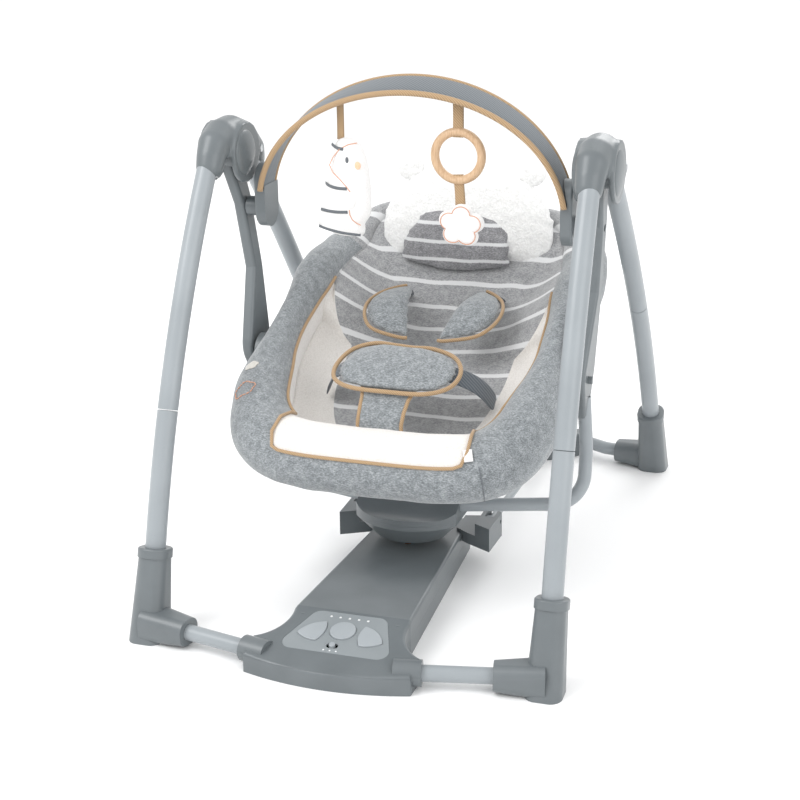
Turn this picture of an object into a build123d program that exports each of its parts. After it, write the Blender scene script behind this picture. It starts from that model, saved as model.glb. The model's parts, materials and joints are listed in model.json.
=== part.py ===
"""Powered baby swing: a folding A-frame, a driven swing carriage, a reclining seat and a toy bar.

Frame: +X to the seat's left-hand side, +Y to the rear, +Z up, origin on the floor under the middle.
Heights are from the floor. Front-back places in this file are measured from the swing axis: at() and
the two plane functions add AXIS_Y, so that the finished object is centred on the origin.
"""

import os
from math import acos, atan2, cos, radians, sin

from build123d import *

# ---- driving dimensions, mm ----
AXIS_Y = -80.0  # the swing axis, from the middle of the footprint
AXIS_Z = 568.0
HUB_X = 248.0  # middle of a hub housing
HUB_HALF = 26.0
WALL = 3.0  # moulded shells
LEG_R = 13.0
LEG_WALL = 1.5
FLOOR_TUBE_R = 10.0
FOOT_X = 256.0
FOOT_TOP = 110.0
FRONT_FOOT = (-283.0, -253.6)  # front-back place of a front foot at the floor and at its top
REAR_FOOT = (466.0, 420.0)
REAR_TUBE_Y = 496.0
TUBE_WALL = 1.5
FRONT_TIP = -350.0
REAR_TIP = 510.0
FOLD_PIN = (50.0, 565.0)  # rear frame's fold axis
BRACE_PIN = (60.0, 57.0)
BASE_TOP = 46.0
BASE_SPLIT = 22.0
SPLIT_GAP = 0.2
DECK_TILT = 12.0  # control deck, degrees
DRUM_BOTTOM = 57.0
DRIVE_TUBE_R = 9.0
ARM_LEAN = 4.0  # degrees, inwards going down
ARM_THICK = 16.0
RECLINE = (15.0, 291.0)
TOY_PIN = (27.0, 491.0)
TOY_PLANE = 20.0
TOY_TOP = 670.0
SEAT_SLOPE = 24.4
SEAT_MIDDLE = (45.0, 309.0)
SIDES = (("left", -1), ("right", 1))

os.makedirs("parts", exist_ok=True)


def at(x, y, z):
    """A point from its distance to the middle plane, to the swing axis and to the floor."""
    return (x, AXIS_Y + y, z)


def side_plane(x):
    """An upright plane facing +X: its first axis runs to the rear, its second up."""
    return Plane(origin=at(x, 0, 0), x_dir=(0, 1, 0), z_dir=(1, 0, 0))


def floor_plane(z):
    """A level plane at height z, with its first axis to the side and its second to the rear."""
    return Plane(origin=at(0, 0, z), x_dir=(1, 0, 0), z_dir=(0, 0, 1))


def seat_point(x, along, above):
    """A point in the sloping seat: along its length from the middle, and above its rim plane."""
    slope = radians(SEAT_SLOPE)
    y = SEAT_MIDDLE[0] + along * cos(slope) - above * sin(slope)
    return at(x, y, SEAT_MIDDLE[1] + along * sin(slope) + above * cos(slope))


def save(piece, name):
    """Label a finished piece and write it as its own file."""
    piece.part.label = name
    export_step(piece.part, f"parts/{name}.step")


def limb(start, r1, end, r2):
    """Two discs and the band between their outer tangents, in the open sketch."""
    dx, dy = end[0] - start[0], end[1] - start[1]
    length = (dx * dx + dy * dy) ** 0.5
    lean = acos((r1 - r2) / length)
    heading = atan2(dy, dx)
    corners = []
    for centre, radius, turn in ((start, r1, lean), (end, r2, lean), (end, r2, -lean), (start, r1, -lean)):
        angle = heading + turn
        corners.append((centre[0] + radius * cos(angle), centre[1] + radius * sin(angle)))
    with Locations(start):
        Circle(r1)
    with Locations(end):
        Circle(r2)
    Polygon(*corners, align=None)


def swept(route, radius, wall=0.0):
    """A round bar, or a tube where a wall is given, along the edges of a route."""
    wire = Wire(route.edges())
    with BuildPart() as bar:
        with BuildSketch(Plane(origin=wire @ 0, z_dir=wire % 0)):
            Circle(radius)
            if wall:
                Circle(radius - wall, mode=Mode.SUBTRACT)
        sweep(path=wire)
    return bar


def rod(start, end, radius, wall=0.0):
    """A straight round bar or tube between two points."""
    with BuildLine() as route:
        Line(start, end)
    return swept(route, radius, wall)


# ---- base: spine, control housing and wings ----
END_X = 106.0  # where the floor tubes enter the control housing
END_Y = (-334.0, -298.0)
WAIST = (76.0, -240.0)
SPINE_END = (59.0, 84.0)
TUBE_Z = 20.0
FRONT_RUN = ((88.0, -317.0), (236.0, -286.0))  # the front floor tube, inner and outer end
REAR_RUN = ((176.0, 477.0), (222.0, 470.0))  # the rear one's straight outer stretch
SOCKET_X = 196.0  # inner end of a foot's level socket
DECK_TOP_Y = -235.0


# plan of the base: a bowed front, hollow shoulders and a tapering spine
with BuildSketch(Plane.XY) as base_plan:
    with BuildLine():
        ThreePointArc((-END_X, END_Y[0]), (0, FRONT_TIP), (END_X, END_Y[0]))
        Line((END_X, END_Y[0]), (END_X + 1, END_Y[1]))
        ThreePointArc((END_X + 1, END_Y[1]), (85, -280), WAIST)
        Line(WAIST, SPINE_END)
        Line(SPINE_END, (-SPINE_END[0], SPINE_END[1]))
        Line((-SPINE_END[0], SPINE_END[1]), (-WAIST[0], WAIST[1]))
        ThreePointArc((-WAIST[0], WAIST[1]), (-85, -280), (-END_X - 1, END_Y[1]))
        Line((-END_X - 1, END_Y[1]), (-END_X, END_Y[0]))
    make_face()


def base_block(inset):
    """The base as one closed body, or its hollow when an inset is given."""
    drop = 120 * sin(radians(DECK_TILT))
    with BuildPart() as block:
        with BuildSketch(floor_plane(inset)):
            add(base_plan.sketch)
            if inset:
                offset(amount=-inset, kind=Kind.INTERSECTION)
        extrude(amount=BASE_TOP - 2 * inset)
        with BuildSketch(side_plane(0)):
            with BuildLine():
                Polyline(
                    (DECK_TOP_Y, BASE_TOP - inset),
                    (DECK_TOP_Y - 120, BASE_TOP - inset - drop),
                    (DECK_TOP_Y - 120, BASE_TOP + 20),
                    (DECK_TOP_Y, BASE_TOP + 20),
                    close=True,
                )
            make_face()
        extrude(amount=150, both=True, mode=Mode.SUBTRACT)
    return block


outer_block = base_block(0)
inner_block = base_block(WALL)
with BuildPart() as base_body:
    add(outer_block.part)
    flat_top = base_body.faces().filter_by(Axis.Z).sort_by(Axis.Z)[-1]
    deck_top = base_body.faces().filter_by(lambda f: 0.5 < f.normal_at().Z < 0.999)[0]
    rim = [e for e in flat_top.edges() + deck_top.edges() if abs(e.center().Y - AXIS_Y - DECK_TOP_Y) > 0.5]
    fillet(rim, 4)
    add(inner_block.part, mode=Mode.SUBTRACT)
    for _, sign in SIDES:
        inner, outer = (Vector(*at(sign * x, y, TUBE_Z)) for x, y in FRONT_RUN)
        run = (outer - inner).normalized()
        with BuildSketch(Plane(origin=inner - run * 8, z_dir=run)):
            Circle(16)
        extrude(amount=34)
        with BuildSketch(Plane(origin=inner, z_dir=run)):
            Circle(FLOOR_TUBE_R + 0.15)
        extrude(amount=60, mode=Mode.SUBTRACT)

SCREW_PLACES = ((-62, -245), (62, -245), (-50, -20), (50, -20), (-46, 72), (46, 72))
CELL_R = 13.0
CELL_LENGTH = 50.0
BATTERY_Y = -150.0
DOOR_X, DOOR_Y = 66.0, 112.0

with BuildPart() as base_tray:
    add(base_body.part)
    split(bisect_by=Plane.XY.offset(BASE_SPLIT), keep=Keep.BOTTOM)
    with BuildSketch(floor_plane(WALL - 0.2)):
        with Locations(*SCREW_PLACES):
            Circle(5)
    extrude(amount=BASE_SPLIT - WALL)
    with BuildSketch(floor_plane(-1)):
        with Locations(*SCREW_PLACES):
            Circle(3.6)
    extrude(amount=4, mode=Mode.SUBTRACT)
    with BuildSketch(floor_plane(0)):
        with Locations(*SCREW_PLACES):
            Circle(1.8)
    extrude(amount=BASE_SPLIT + 2, mode=Mode.SUBTRACT)
    with BuildSketch(floor_plane(-1)):
        with Locations((0, BATTERY_Y)):
            Rectangle(DOOR_X, DOOR_Y)
    extrude(amount=10, mode=Mode.SUBTRACT)
save(base_tray, "base_tray")

with BuildPart() as battery_door:
    with BuildSketch(floor_plane(0)):
        with Locations((0, BATTERY_Y)):
            RectangleRounded(DOOR_X - 0.8, DOOR_Y - 0.8, 3)
    extrude(amount=WALL - 0.2)
    with BuildSketch(floor_plane(-1)):
        with Locations((0, BATTERY_Y + 46)):
            SlotOverall(24, 8)
    extrude(amount=2, mode=Mode.SUBTRACT)
save(battery_door, "battery_door")

with BuildPart() as battery_cells:
    for x in (-14, 14):
        for y in (-26, 26):
            with BuildSketch(Plane(origin=at(x, BATTERY_Y + y - CELL_LENGTH / 2, 17), z_dir=(0, 1, 0))):
                Circle(CELL_R)
            extrude(amount=CELL_LENGTH - 2)
            with BuildSketch(Plane(origin=at(x, BATTERY_Y + y + CELL_LENGTH / 2 - 2, 17), z_dir=(0, 1, 0))):
                Circle(3)
            extrude(amount=1.6)
save(battery_cells, "battery_cells")

with BuildPart() as base_screws:
    with BuildSketch(floor_plane(1)):
        with Locations(*SCREW_PLACES):
            Circle(3.3)
    extrude(amount=1.9)
    with BuildSketch(floor_plane(1)):
        with Locations(*SCREW_PLACES):
            Circle(1.5)
    extrude(amount=33)
    with BuildSketch(floor_plane(0.5)):
        with Locations(*SCREW_PLACES):
            SlotOverall(4, 1)
    extrude(amount=1.3, mode=Mode.SUBTRACT)
save(base_screws, "base_screws")

# ---- control deck ----
deck_tilt = radians(DECK_TILT)
DECK = Plane(
    origin=at(0, DECK_TOP_Y - 46 * cos(deck_tilt), BASE_TOP - 46 * sin(deck_tilt)),
    x_dir=(1, 0, 0),
    z_dir=(0, -sin(deck_tilt), cos(deck_tilt)),
)
PANEL_THICK = 2.0
BUTTON_GAP = 0.35
POWER_AT = (0, 8)
POWER_R = 16.0
SWITCH_AT = (-4, -20)


# the inlay: a trapezium with round corners, wide at the front
with BuildSketch(Plane.XY) as panel_plan:
    with BuildLine():
        FilletPolyline((-74, -34), (74, -34), (46, 42), (-46, 42), radius=14, close=True)
    make_face()


# a leaf-shaped key beside the round one, and its mirror image for the two-way key
with BuildSketch(Plane.XY) as music_plan:
    with BuildLine():
        ThreePointArc((-25, 21), (-22, 2), (-28, -15))
        ThreePointArc((-28, -15), (-42, -13), (-55, -5))
        ThreePointArc((-55, -5), (-44, 12), (-25, 21))
    make_face()


speed_plan = mirror(music_plan.sketch, about=Plane.YZ, mode=Mode.PRIVATE)
with BuildSketch(Plane.XY) as power_plan:
    with Locations(POWER_AT):
        Circle(POWER_R)

# the openings that the controls stand in
with BuildSketch(Plane.XY) as key_plan:
    add(music_plan.sketch)
    add(speed_plan)
    add(power_plan.sketch)
    offset(amount=BUTTON_GAP, kind=Kind.ARC)
    with Locations(SWITCH_AT):
        SlotOverall(15, 9)


with BuildPart() as base_cover:
    add(base_body.part)
    split(bisect_by=Plane.XY.offset(BASE_SPLIT + SPLIT_GAP), keep=Keep.TOP)
    with BuildSketch(DECK.offset(-PANEL_THICK)):
        add(panel_plan.sketch)
    extrude(amount=PANEL_THICK + 4, mode=Mode.SUBTRACT)
    with BuildSketch(DECK.offset(-12)):
        add(key_plan.sketch)
    extrude(amount=16, mode=Mode.SUBTRACT)
    with BuildSketch(floor_plane(BASE_SPLIT + SPLIT_GAP)):
        with Locations(*SCREW_PLACES):
            Circle(4.5)
            Circle(1.7, mode=Mode.SUBTRACT)
    extrude(amount=21.2)
    with BuildSketch(floor_plane(BASE_TOP - 8)):
        with Locations((0, -18)):
            Circle(6)
    extrude(amount=12, mode=Mode.SUBTRACT)
    for _, sign in SIDES:
        with BuildSketch(floor_plane(34)):
            with BuildLine():
                Polyline(
                    (sign * 52, 40), (sign * 72, 26), (sign * 108, 6), (sign * 110, 66),
                    (sign * 84, 92), (sign * 52, 84), close=True,
                )
            make_face()
        extrude(amount=16)
        with BuildSketch(floor_plane(40)):
            with BuildLine():
                Polyline((sign * 84, 19.3), (sign * 108, 6), (sign * 110, 66), (sign * 84, 92), close=True)
            make_face()
        extrude(amount=28)
        with BuildSketch(side_plane(sign * 90)):
            with BuildLine():
                Polyline(
                    (BRACE_PIN[0] - 12, 80), (BRACE_PIN[0] - 12, 44),
                    (BRACE_PIN[0] + 50, 44), (BRACE_PIN[0] + 50, 80), close=True,
                )
            make_face()
        extrude(amount=sign * 13, mode=Mode.SUBTRACT)
        with BuildSketch(side_plane(sign * 80)):
            with Locations(BRACE_PIN):
                Circle(3)
        extrude(amount=sign * 40, mode=Mode.SUBTRACT)
save(base_cover, "base_cover")

with BuildPart() as control_panel:
    with BuildSketch(DECK.offset(-PANEL_THICK)):
        add(panel_plan.sketch)
        offset(amount=-0.2)
    extrude(amount=PANEL_THICK)
    with BuildSketch(DECK.offset(-3)):
        add(key_plan.sketch)
    extrude(amount=6, mode=Mode.SUBTRACT)
save(control_panel, "control_panel")


def key(plan, rise, name):
    """One moulded key standing a little proud of the deck, with a skirt under the panel."""
    with BuildPart() as made:
        with BuildSketch(DECK.offset(-9)):
            add(plan)
        extrude(amount=9 + rise)
        fillet(made.faces().sort_by(Axis(DECK.origin, DECK.z_dir))[-1].edges(), 1)
    save(made, name)


key(music_plan.sketch, 2.0, "music_button")
key(speed_plan, 2.0, "speed_rocker")
key(power_plan.sketch, 2.4, "power_button")

with BuildPart() as mode_switch:
    with BuildSketch(DECK.offset(-8)):
        with Locations(SWITCH_AT):
            Circle(3.9)
    extrude(amount=11)
    fillet(mode_switch.faces().sort_by(Axis(DECK.origin, DECK.z_dir))[-1].edges(), 1)
save(mode_switch, "mode_switch")

with BuildPart() as circuit_board:
    with BuildSketch(floor_plane(BASE_SPLIT - 6)):
        with Locations((0, -288)):
            Rectangle(104, 56)
    extrude(amount=1.6)
    with BuildSketch(floor_plane(BASE_SPLIT - 4.4)):
        with Locations((-20, -276)):
            Rectangle(14, 14)
        with Locations((24, -280)):
            Rectangle(10, 6)
    extrude(amount=2)
save(circuit_board, "circuit_board")

with BuildPart() as speaker:
    with BuildSketch(floor_plane(28)):
        with Locations((0, -222)):
            Circle(20)
    extrude(amount=5)
    with BuildSketch(floor_plane(14)):
        with Locations((0, -222)):
            Circle(11)
    extrude(amount=14)
save(speaker, "speaker")

with BuildPart() as drive_coil:
    with BuildSketch(floor_plane(24)):
        with Locations((0, 30)):
            Circle(24)
            Circle(7, mode=Mode.SUBTRACT)
    extrude(amount=16)
save(drive_coil, "drive_coil")

# ---- legs, feet and floor tubes ----


def foot(sign, floor_y, top_y, run_line, name):
    """An elbow: an upright socket for the leg and a level socket for the floor tube."""
    base = Vector(*at(sign * FOOT_X, floor_y, 0))
    top = Vector(*at(sign * FOOT_X, top_y, FOOT_TOP))
    run = (top - base).normalized()
    side = Vector(sign, 0, 0)
    (x1, y1), (x2, y2) = run_line
    inner_end = Vector(*at(sign * SOCKET_X, y1 + (SOCKET_X - x1) * (y2 - y1) / (x2 - x1), TUBE_Z))
    level = Vector(sign * (x1 - x2), y1 - y2, 0).normalized()
    with BuildPart() as made:
        with BuildSketch(Plane(origin=base - run * 20, x_dir=side, z_dir=run)):
            RectangleRounded(47, 48, 15)
        with BuildSketch(Plane(origin=top - run * 4, x_dir=side, z_dir=run)):
            RectangleRounded(37, 38, 15)
        loft()
        with BuildSketch(Plane(origin=top - run * 12, x_dir=side, z_dir=run)):
            RectangleRounded(41, 42, 17)
        extrude(amount=12)
        fillet(made.faces().sort_by(Axis(top, run))[-1].edges(), 2.5)
        with BuildSketch(Plane(origin=Vector(base.X, base.Y, TUBE_Z), z_dir=level)):
            RectangleRounded(46, 42, 12)
        with BuildSketch(Plane(origin=inner_end, z_dir=level)):
            RectangleRounded(36, 34, 14)
        loft()
        split(bisect_by=Plane.XY, keep=Keep.TOP)
        with BuildSketch(Plane(origin=base + run * 42, z_dir=run)):
            Circle(LEG_R + 0.2)
        extrude(amount=FOOT_TOP, mode=Mode.SUBTRACT)
        with BuildSketch(Plane(origin=inner_end - level * 28, z_dir=level)):
            Circle(FLOOR_TUBE_R + 0.15)
        extrude(amount=60, mode=Mode.SUBTRACT)
    save(made, name)


for side_name, sign in SIDES:
    foot(sign, FRONT_FOOT[0], FRONT_FOOT[1], FRONT_RUN, f"front_foot_{side_name}")
    # front leg: one gentle bow in two tubes, straight inside the foot
    hub_end = at(sign * 249, -52, 577)
    foot_top = at(sign * FOOT_X, FRONT_FOOT[1], FOOT_TOP)
    with BuildLine() as whole:
        ThreePointArc(hub_end, at(sign * 253, -148.6, 400), foot_top)
    cut = whole.line.edges()[0]
    split_at = 0.66
    with BuildLine() as upper_route:
        add(cut.trim(0, split_at))
    save(swept(upper_route.line, LEG_R, LEG_WALL), f"front_leg_upper_{side_name}")
    into_foot = (Vector(*at(sign * FOOT_X, FRONT_FOOT[0], 0)) - Vector(*foot_top)).normalized()
    with BuildLine() as lower_route:
        add(cut.trim(split_at + 0.002, 1))
        Line(cut @ 1, (cut @ 1) + into_foot * 64)
    save(swept(lower_route.line, LEG_R, LEG_WALL), f"front_leg_lower_{side_name}")

    # rear leg, likewise, from its fold pin
    foot(sign, REAR_FOOT[0], REAR_FOOT[1], REAR_RUN, f"rear_foot_{side_name}")
    pin_end = at(sign * 250, FOLD_PIN[0] + 5, FOLD_PIN[1] - 5)
    rear_top = at(sign * FOOT_X, REAR_FOOT[1], FOOT_TOP)
    with BuildLine() as whole_rear:
        ThreePointArc(pin_end, at(sign * 257, 243, 350), rear_top)
    cut = whole_rear.line.edges()[0]
    split_at = 0.54
    with BuildPart() as rear_leg_upper:
        add(swept(cut.trim(0, split_at), LEG_R, LEG_WALL).part)
        with BuildSketch(side_plane(sign * 250 - 11)):
            with Locations(FOLD_PIN):
                Circle(LEG_R)
        extrude(amount=22)
        with BuildSketch(side_plane(sign * 250 - 20)):
            with Locations(FOLD_PIN):
                Circle(5.05)
        extrude(amount=40, mode=Mode.SUBTRACT)
    save(rear_leg_upper, f"rear_leg_upper_{side_name}")
    into_foot = (Vector(*at(sign * FOOT_X, REAR_FOOT[0], 0)) - Vector(*rear_top)).normalized()
    with BuildLine() as lower_route:
        add(cut.trim(split_at + 0.002, 1))
        Line(cut @ 1, (cut @ 1) + into_foot * 64)
    save(swept(lower_route.line, LEG_R, LEG_WALL), f"rear_leg_lower_{side_name}")

# ---- hub housings: a saddle over both legs, in an inner and an outer shell ----
with BuildLine() as left_leg:
    ThreePointArc(at(-249, -52, 577), at(-253, -148.6, 400), at(-FOOT_X, FRONT_FOOT[1], FOOT_TOP))
leg_room = swept(left_leg.line.edges()[0].trim(0, 0.36), LEG_R + 0.25)
with BuildSketch(side_plane(0)) as hub_plan:
    limb((0, 568), 46, (-74, 541), 19)
    limb((0, 568), 46, (66, 545), 25)
with BuildSketch(side_plane(0)) as hub_hollow:
    limb((0, 568), 42, (66, 545), 21)
    Polygon((-30, 560), (-44, 500), (170, 380), (96, 556), align=None)
for half, facing in (("inner", 1), ("outer", -1)):
    middle = -HUB_X + facing * 0.1
    with BuildPart() as shell:
        with BuildSketch(side_plane(middle)):
            add(hub_plan.sketch_local)
        extrude(amount=facing * (HUB_HALF - 0.1))
        outer_face = shell.faces().sort_by(Axis.X)[-1 if facing > 0 else 0]
        fillet(outer_face.edges(), 12)
        with BuildSketch(side_plane(middle - facing)):
            add(hub_hollow.sketch_local)
        extrude(amount=facing * (HUB_HALF - WALL + 1), mode=Mode.SUBTRACT)
        add(leg_room.part, mode=Mode.SUBTRACT)
        with BuildSketch(side_plane(middle - facing)):
            with Locations((0, AXIS_Z)):
                Circle(6.02)
            with Locations(FOLD_PIN):
                Circle(5.02)
        extrude(amount=facing * (HUB_HALF + 2), mode=Mode.SUBTRACT)
    save(shell, f"hub_{half}_left")
    with BuildPart() as mirrored_shell:
        add(mirror(shell.part, about=Plane.YZ, mode=Mode.PRIVATE))
    save(mirrored_shell, f"hub_{half}_right")

with BuildPart() as hub_pins:
    for _, sign in SIDES:
        for centre, radius in (((0, AXIS_Z), 6.0), (FOLD_PIN, 5.0)):
            with BuildSketch(side_plane(sign * HUB_X - HUB_HALF + 0.5)):
                with Locations(centre):
                    Circle(radius)
            extrude(amount=2 * HUB_HALF - 1)
save(hub_pins, "hub_pins")

with BuildPart() as hub_caps:
    for _, sign in SIDES:
        for facing in (-1, 1):
            with BuildSketch(side_plane(sign * HUB_X + facing * (HUB_HALF + 0.1))):
                with Locations((6, AXIS_Z - 4)):
                    Ellipse(27, 31)
            extrude(amount=facing * 5)
    domes = [f for f in hub_caps.faces().filter_by(Axis.X) if abs(abs(f.center().X) - HUB_X) > HUB_HALF + 3]
    fillet([e for f in domes for e in f.edges()], 4)
save(hub_caps, "hub_caps")

with BuildPart() as floor_tubes_front:
    for _, sign in SIDES:
        inner, outer = (Vector(*at(sign * x, y, TUBE_Z)) for x, y in FRONT_RUN)
        run = (outer - inner).normalized()
        add(rod(inner + run * 0.5, outer - run * 16, FLOOR_TUBE_R, TUBE_WALL).part)
save(floor_tubes_front, "front_floor_tubes")

with BuildPart() as floor_tubes_rear:
    for _, sign in SIDES:
        with BuildLine(mode=Mode.PRIVATE) as rear_route:
            FilletPolyline(
                at(sign * REAR_RUN[1][0], REAR_RUN[1][1], TUBE_Z),
                at(sign * REAR_RUN[0][0], REAR_RUN[0][1], TUBE_Z),
                at(sign * 140, REAR_TUBE_Y, TUBE_Z), at(sign * 102, REAR_TUBE_Y, TUBE_Z), radius=24,
            )
        add(swept(rear_route.line, FLOOR_TUBE_R, TUBE_WALL).part)
save(floor_tubes_rear, "rear_floor_tubes")

# ---- brace: thin tubes from the wings, resting on the rear housing ----
BRACE_X = (96.5, 89.0)
BRACE_END = (452.0, 30.0)


def brace_rod(sign, radius):
    """The straight run of one brace tube."""
    top = at(sign * BRACE_X[0], BRACE_PIN[0] + 4, BRACE_PIN[1] - 0.3)
    return rod(top, at(sign * BRACE_X[1], *BRACE_END), radius)


with BuildPart() as brace_tubes:
    for _, sign in SIDES:
        add(brace_rod(sign, 5.5).part)
        with BuildSketch(side_plane(sign * BRACE_X[0] - 6)):
            with Locations(BRACE_PIN):
                Circle(7)
        extrude(amount=12)
    with BuildSketch(side_plane(-120)):
        with Locations(BRACE_PIN):
            Circle(3.05)
    extrude(amount=240, mode=Mode.SUBTRACT)
save(brace_tubes, "brace_tubes")

with BuildPart() as brace_pins:
    for _, sign in SIDES:
        with BuildSketch(side_plane(sign * 84)):
            with Locations(BRACE_PIN):
                Circle(2.98)
        extrude(amount=sign * 24)
save(brace_pins, "brace_pins")

with BuildPart() as brace_bar:
    for _, sign in SIDES:
        with BuildSketch(floor_plane(24.3)):
            with Locations((sign * BRACE_X[1], 458)):
                RectangleRounded(18, 24, 3)
        extrude(amount=12)
    add(rod(at(-84, 380, 36), at(84, 380, 36), 5).part)
    for _, sign in SIDES:
        with BuildSketch(Plane(origin=at(sign * 90.3, 372, 36.4), x_dir=(1, 0, 0), z_dir=(0, 1, -0.066))):
            RectangleRounded(17, 15, 4)
        extrude(amount=16)
    for _, sign in SIDES:
        add(brace_rod(sign, 5.55).part, mode=Mode.SUBTRACT)
save(brace_bar, "brace_bar")

# ---- rear housing ----
HOUSING_TOP = 38.0
with BuildPart() as housing_body:
    with BuildSketch(floor_plane(0)):
        with BuildLine():
            ThreePointArc((-131, 482), (0, 424), (131, 482))
            Line((131, 482), (131, REAR_TIP - 1))
            ThreePointArc((131, REAR_TIP - 1), (0, REAR_TIP), (-131, REAR_TIP - 1))
            Line((-131, REAR_TIP - 1), (-131, 482))
        make_face()
    extrude(amount=HOUSING_TOP)
    fillet(housing_body.faces().sort_by(Axis.Z)[-1].edges(), 5)
    with BuildSketch(floor_plane(WALL)):
        with BuildLine():
            ThreePointArc((-98, 478), (0, 428), (98, 478))
            Line((98, 478), (98, REAR_TIP - 4))
            ThreePointArc((98, REAR_TIP - 4), (0, REAR_TIP - 3), (-98, REAR_TIP - 4))
            Line((-98, REAR_TIP - 4), (-98, 478))
        make_face()
    extrude(amount=BASE_SPLIT - 4 - WALL, mode=Mode.SUBTRACT)
    for _, sign in SIDES:
        with BuildSketch(side_plane(sign * 89 - 12)):
            Polygon((400, 23.3), (474, 23.3), (502, 40), (502, 60), (400, 60), align=None)
        extrude(amount=24, mode=Mode.SUBTRACT)
        with BuildSketch(Plane(origin=at(sign * 101.5, REAR_TUBE_Y, TUBE_Z), z_dir=(sign, 0, 0))):
            Circle(FLOOR_TUBE_R + 0.15)
        extrude(amount=60, mode=Mode.SUBTRACT)
with BuildPart() as rear_housing_lower:
    add(housing_body.part)
    split(bisect_by=Plane.XY.offset(16), keep=Keep.BOTTOM)
save(rear_housing_lower, "rear_housing_lower")
with BuildPart() as rear_housing_upper:
    add(housing_body.part)
    split(bisect_by=Plane.XY.offset(16.2), keep=Keep.TOP)
save(rear_housing_upper, "rear_housing_upper")

# ---- swing carriage: arms, drive tube and magnet drum ----
with BuildLine() as drive_route:
    FilletPolyline(
        at(-229, 34, 261), at(-234, 32, 190), at(-236, 10, 119), at(-60, 0, 101),
        at(60, 0, 101), at(236, 10, 119), at(234, 32, 190), at(229, 34, 261),
        radius=(60, 44, 60, 60, 44, 60),
    )
save(swept(drive_route.line, DRIVE_TUBE_R, TUBE_WALL), "drive_tube")
drive_room = swept(drive_route.line, DRIVE_TUBE_R + 0.15)

lean = radians(ARM_LEAN)
for side_name, sign in SIDES:
    arm_plane = Plane(
        origin=at(sign * 249, 0, AXIS_Z), x_dir=(0, 1, 0), z_dir=(cos(lean), 0, -sign * sin(lean))
    )
    with BuildPart() as swing_arm:
        with BuildSketch(arm_plane):
            limb((0, 0), 19, (28, -70), 14)
            limb((28, -70), 14, (42, -165), 13)
            limb((42, -165), 13, (24, -268), 33)
            limb((24, -268), 33, (33, -325), 13)
        extrude(amount=ARM_THICK / 2, both=True)
        faces = swing_arm.faces().sort_by(Axis(arm_plane.origin, arm_plane.z_dir))
        fillet(faces[0].edges() + faces[-1].edges(), 4.5)
        with BuildSketch(side_plane(sign * HUB_X - 20)):
            with Locations((0, AXIS_Z)):
                Circle(21)
        extrude(amount=40)
        with BuildSketch(side_plane(sign * HUB_X - 40)):
            with Locations((0, AXIS_Z)):
                Circle(9.0)
        extrude(amount=80, mode=Mode.SUBTRACT)
        for place in (RECLINE, TOY_PIN):
            with BuildSketch(side_plane(sign * HUB_X - 60)):
                with Locations(place):
                    Circle(5.05)
            extrude(amount=90, mode=Mode.SUBTRACT)
        add(drive_room.part, mode=Mode.SUBTRACT)
    save(swing_arm, f"swing_arm_{side_name}")
with BuildPart() as hub_bushes:
    for _, sign in SIDES:
        with BuildSketch(side_plane(sign * HUB_X - 20)):
            with Locations((0, AXIS_Z)):
                Circle(8.95)
                Circle(6.05, mode=Mode.SUBTRACT)
        extrude(amount=40)
save(hub_bushes, "hub_bushes")

DRUM_HALF = (71.0, 56.0)
LID_Z = 88.0
with BuildSketch(Plane.XY) as drum_low_plan:
    Ellipse(50, 44)
with BuildSketch(Plane.XY) as drum_high_plan:
    with BuildLine():
        ThreePointArc((-DRUM_HALF[0], -26), (0, -DRUM_HALF[1] - 6), (DRUM_HALF[0], -26))
        Line((DRUM_HALF[0], -26), (DRUM_HALF[0], 26))
        ThreePointArc((DRUM_HALF[0], 26), (0, DRUM_HALF[1]), (-DRUM_HALF[0], 26))
        Line((-DRUM_HALF[0], 26), (-DRUM_HALF[0], -26))
    make_face()
with BuildPart() as drum_body:
    with BuildSketch(floor_plane(DRUM_BOTTOM)):
        add(drum_low_plan.sketch)
    with BuildSketch(floor_plane(82)):
        add(drum_high_plan.sketch)
    loft()
    with BuildSketch(floor_plane(82)):
        add(drum_high_plan.sketch)
    extrude(amount=34)
    with BuildSketch(side_plane(0)):
        with BuildLine():
            Spline((-64, 97), (-30, 99), (0, 113), (34, 115), (64, 103))
            Line((64, 103), (64, 130))
            Line((64, 130), (-64, 130))
            Line((-64, 130), (-64, 97))
        make_face()
    extrude(amount=90, both=True, mode=Mode.SUBTRACT)
    with BuildSketch(floor_plane(DRUM_BOTTOM + WALL)):
        Circle(34)
    extrude(amount=24, mode=Mode.SUBTRACT)
    add(drive_room.part, mode=Mode.SUBTRACT)
with BuildPart() as drum_shell:
    add(drum_body.part)
    split(bisect_by=Plane.XY.offset(LID_Z), keep=Keep.BOTTOM)
save(drum_shell, "drum_shell")
with BuildPart() as drum_lid:
    add(drum_body.part)
    split(bisect_by=Plane.XY.offset(LID_Z + SPLIT_GAP), keep=Keep.TOP)
save(drum_lid, "drum_lid")
with BuildPart() as drive_magnet:
    with BuildSketch(floor_plane(DRUM_BOTTOM + WALL + 0.3)):
        Circle(30)
        Circle(6, mode=Mode.SUBTRACT)
    extrude(amount=18)
save(drive_magnet, "drive_magnet")

# ---- seat: tilts on the arms ----
SEAT = Plane(
    origin=seat_point(0, 0, 0),
    x_dir=(1, 0, 0),
    z_dir=(0, -sin(radians(SEAT_SLOPE)), cos(radians(SEAT_SLOPE))),
)
RIM_X = 188.0
RIM_FRONT, RIM_BACK = -224.0, 300.0
RIM_CORNER = 105.0
FRAME_TUBE_R = 8.0
BOLSTER = (44.0, 26.0)  # half height and half thickness
BOLSTER_END = 250.0  # the bolster stops here, short of the head end
SEAT_ARM_X = 219.5

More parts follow.
